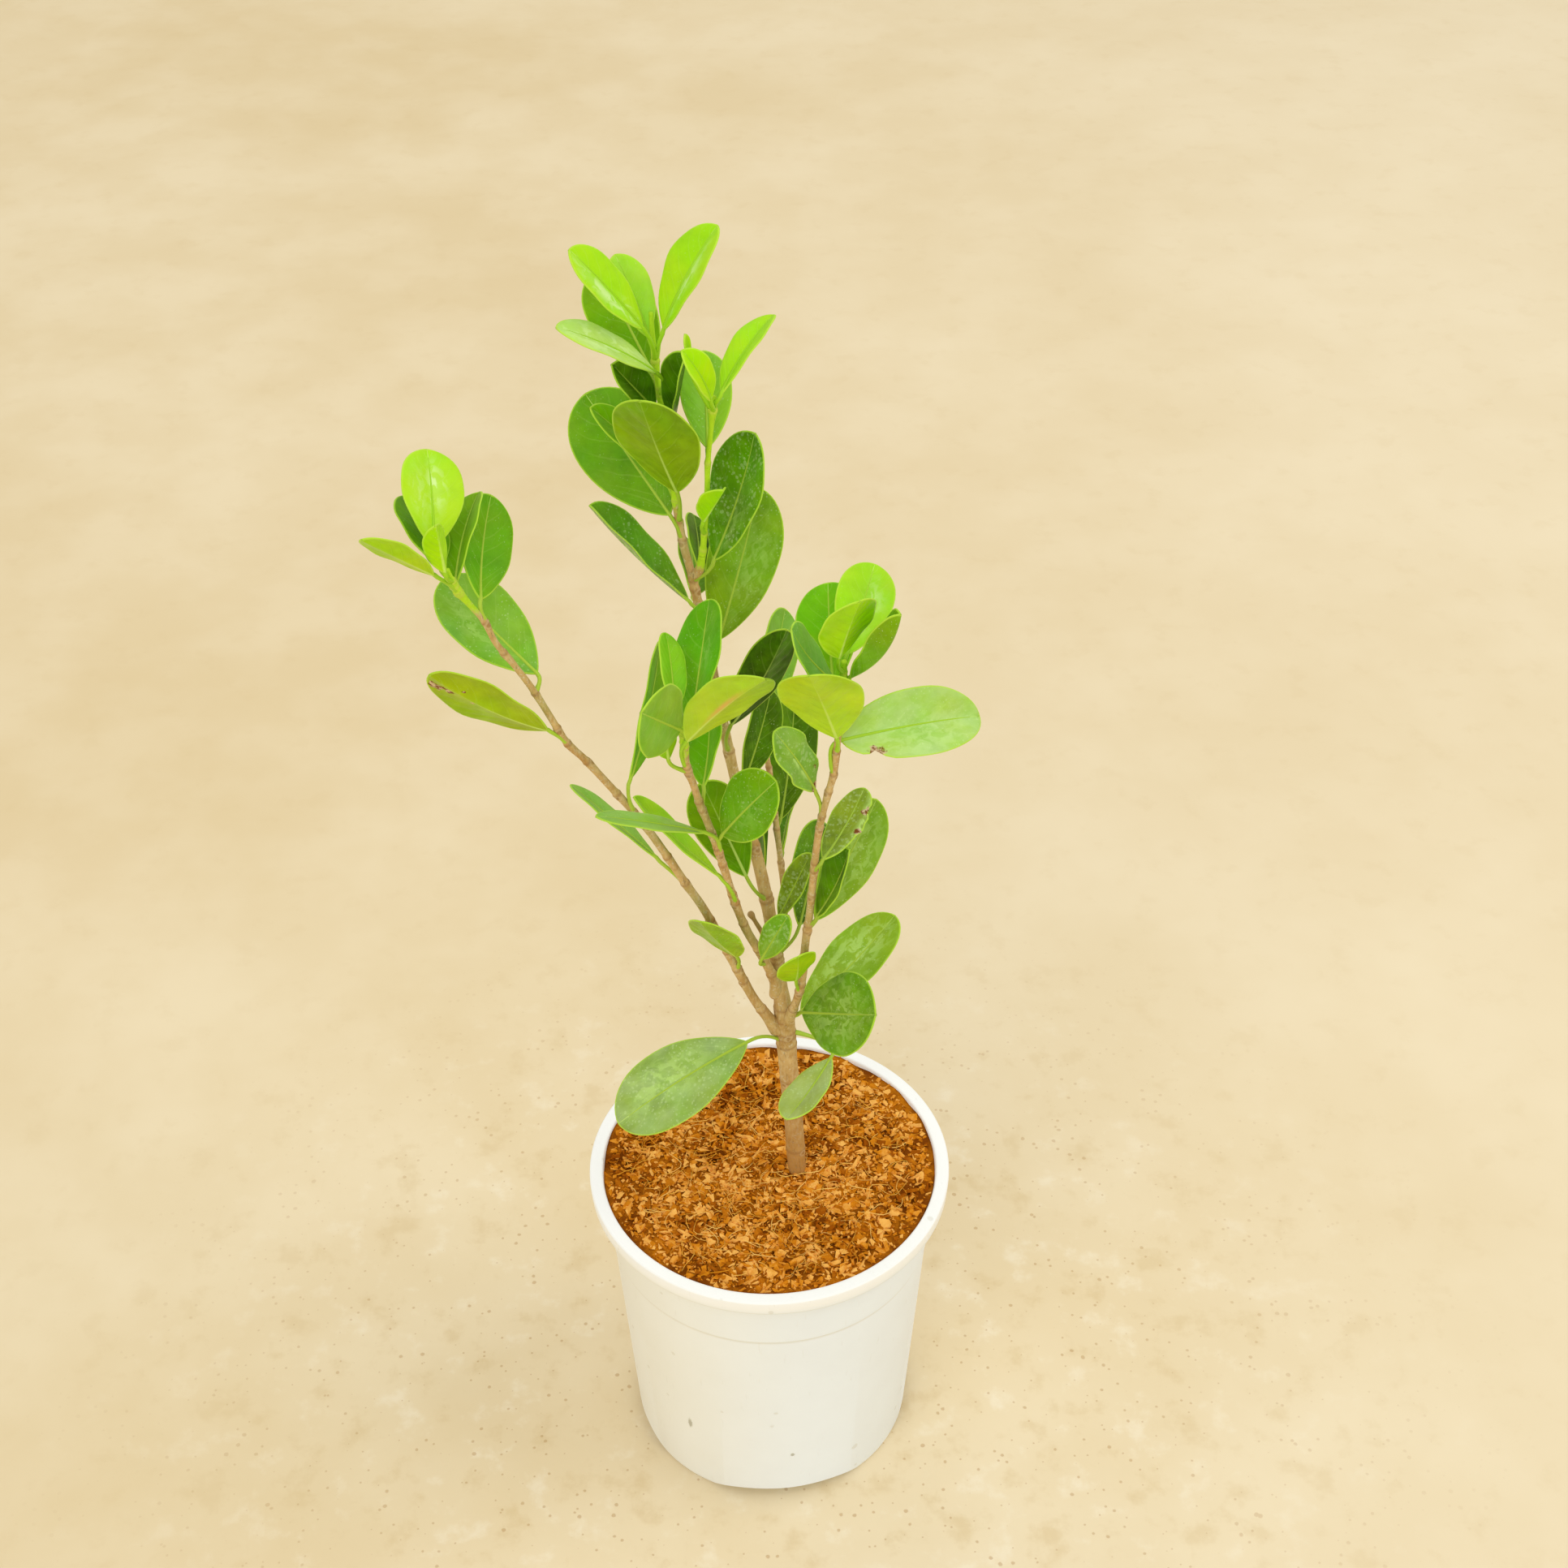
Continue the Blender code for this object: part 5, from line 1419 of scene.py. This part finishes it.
def loose_fibre(groups):
    """Chips and strands that lie on the fill."""
    chip = fibre_material("husk_chips", CHIP_BROWNS, 0.8, groups)
    strand = fibre_material("husk_strands", STRAND_BROWNS, 0.2, groups)
    draw = np.random.RandomState(7)
    chips = [chip_shape(f"chip_{k}", size, draw) for k, size in enumerate(CHIP_SIZES)]
    strands = [strand_shape(f"strand_{k}", *shape, draw) for k, shape in enumerate(STRAND_SHAPES)]
    tree = scatter_tree()
    made = [
        strewn("fibre_chips", tree, strewing_ground(CHIPS_REACH, -0.3), chips, chip,
               density=CHIPS_PER_SQUARE_METRE, tilt=0.55, seed=3,
               smallest=0.7, largest=2.4, rarity_of_large=3.0),
        strewn("fibre_strands", tree, strewing_ground(STRANDS_REACH, 0.25), strands, strand,
               density=STRANDS_PER_SQUARE_METRE, tilt=0.16, seed=11,
               smallest=0.5, largest=1.1, rarity_of_large=1.5),
    ]
    for piece in made:
        piece.data.set_sharp_from_angle(angle=math.radians(30))
    return made


# Stage


def add_camera():
    data = bpy.data.cameras.new("camera")
    data.lens = CAMERA_LENS
    data.sensor_width = CAMERA_SENSOR
    data.clip_end = 100
    camera = placed("camera", data)
    camera.matrix_world = (Matrix.Translation(CAMERA_PLACE)
                           @ Matrix.Rotation(math.radians(90 - CAMERA_DOWN), 4, "X")
                           @ Matrix.Rotation(math.radians(CAMERA_ROLL), 4, "Z"))
    bpy.context.scene.camera = camera


def add_light(name, place, aim, size, power):
    data = bpy.data.lights.new(name, "AREA")
    data.shape = "DISK"
    data.size = size
    data.energy = power
    data.color = LIGHT_COLOR
    light = placed(name, data)
    light.location = place
    light.rotation_euler = (Vector(aim) - Vector(place)).to_track_quat("-Z", "Y").to_euler()


def add_daylight():
    """Open shade: a wide pale sky, and three soft brighter parts of it."""
    world = bpy.data.worlds.new("sky")
    world.use_nodes = True
    background = world.node_tree.nodes["Background"]
    background.inputs["Color"].default_value = (*SKY_COLOR, 1)
    background.inputs["Strength"].default_value = SKY_STRENGTH
    bpy.context.scene.world = world
    for name, facts in LIGHTS.items():
        add_light(name, *facts)


def add_floor(material):
    mesh = bpy.data.meshes.new("floor")
    corners = [(x * FLOOR_REACH, y * FLOOR_REACH, 0) for x, y in ((-1, -1), (1, -1), (1, 1), (-1, 1))]
    mesh.from_pydata(corners, [], [(0, 1, 2, 3)])
    mesh.materials.append(material)
    floor = placed("floor", mesh)


# All of it


def main():
    bpy.context.scene.view_settings.view_transform = "Standard"
    add_camera()
    add_daylight()
    groups = {"veins": vein_group(), "specks": specks_group("specks", "3D"),
              "flecks": specks_group("flecks", "2D"), "mottle": mottle_group()}
    add_floor(floor_material(groups))
    leaf_finishes = [
        leaf_material("leaf_upper", False, groups),
        leaf_material("leaf_under", True, groups),
        stalk_material(groups),
    ]
    bark = bark_material(groups)
    for stem in STEMS:
        for piece in (stem_bark(stem, bark), stem_leaves(stem, leaf_finishes)):
            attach(piece, "root")
            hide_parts(stem)
    shell = pot_shell(plastic_material(groups))
    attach(shell, "root")
    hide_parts("pot")
    bed = fibre_bed(fibre_material("husk_bed", BED_BROWNS, 0.8, groups))
    for piece in [bed] + loose_fibre(groups):
        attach(piece, "root")
        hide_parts("cocopeat")


main()
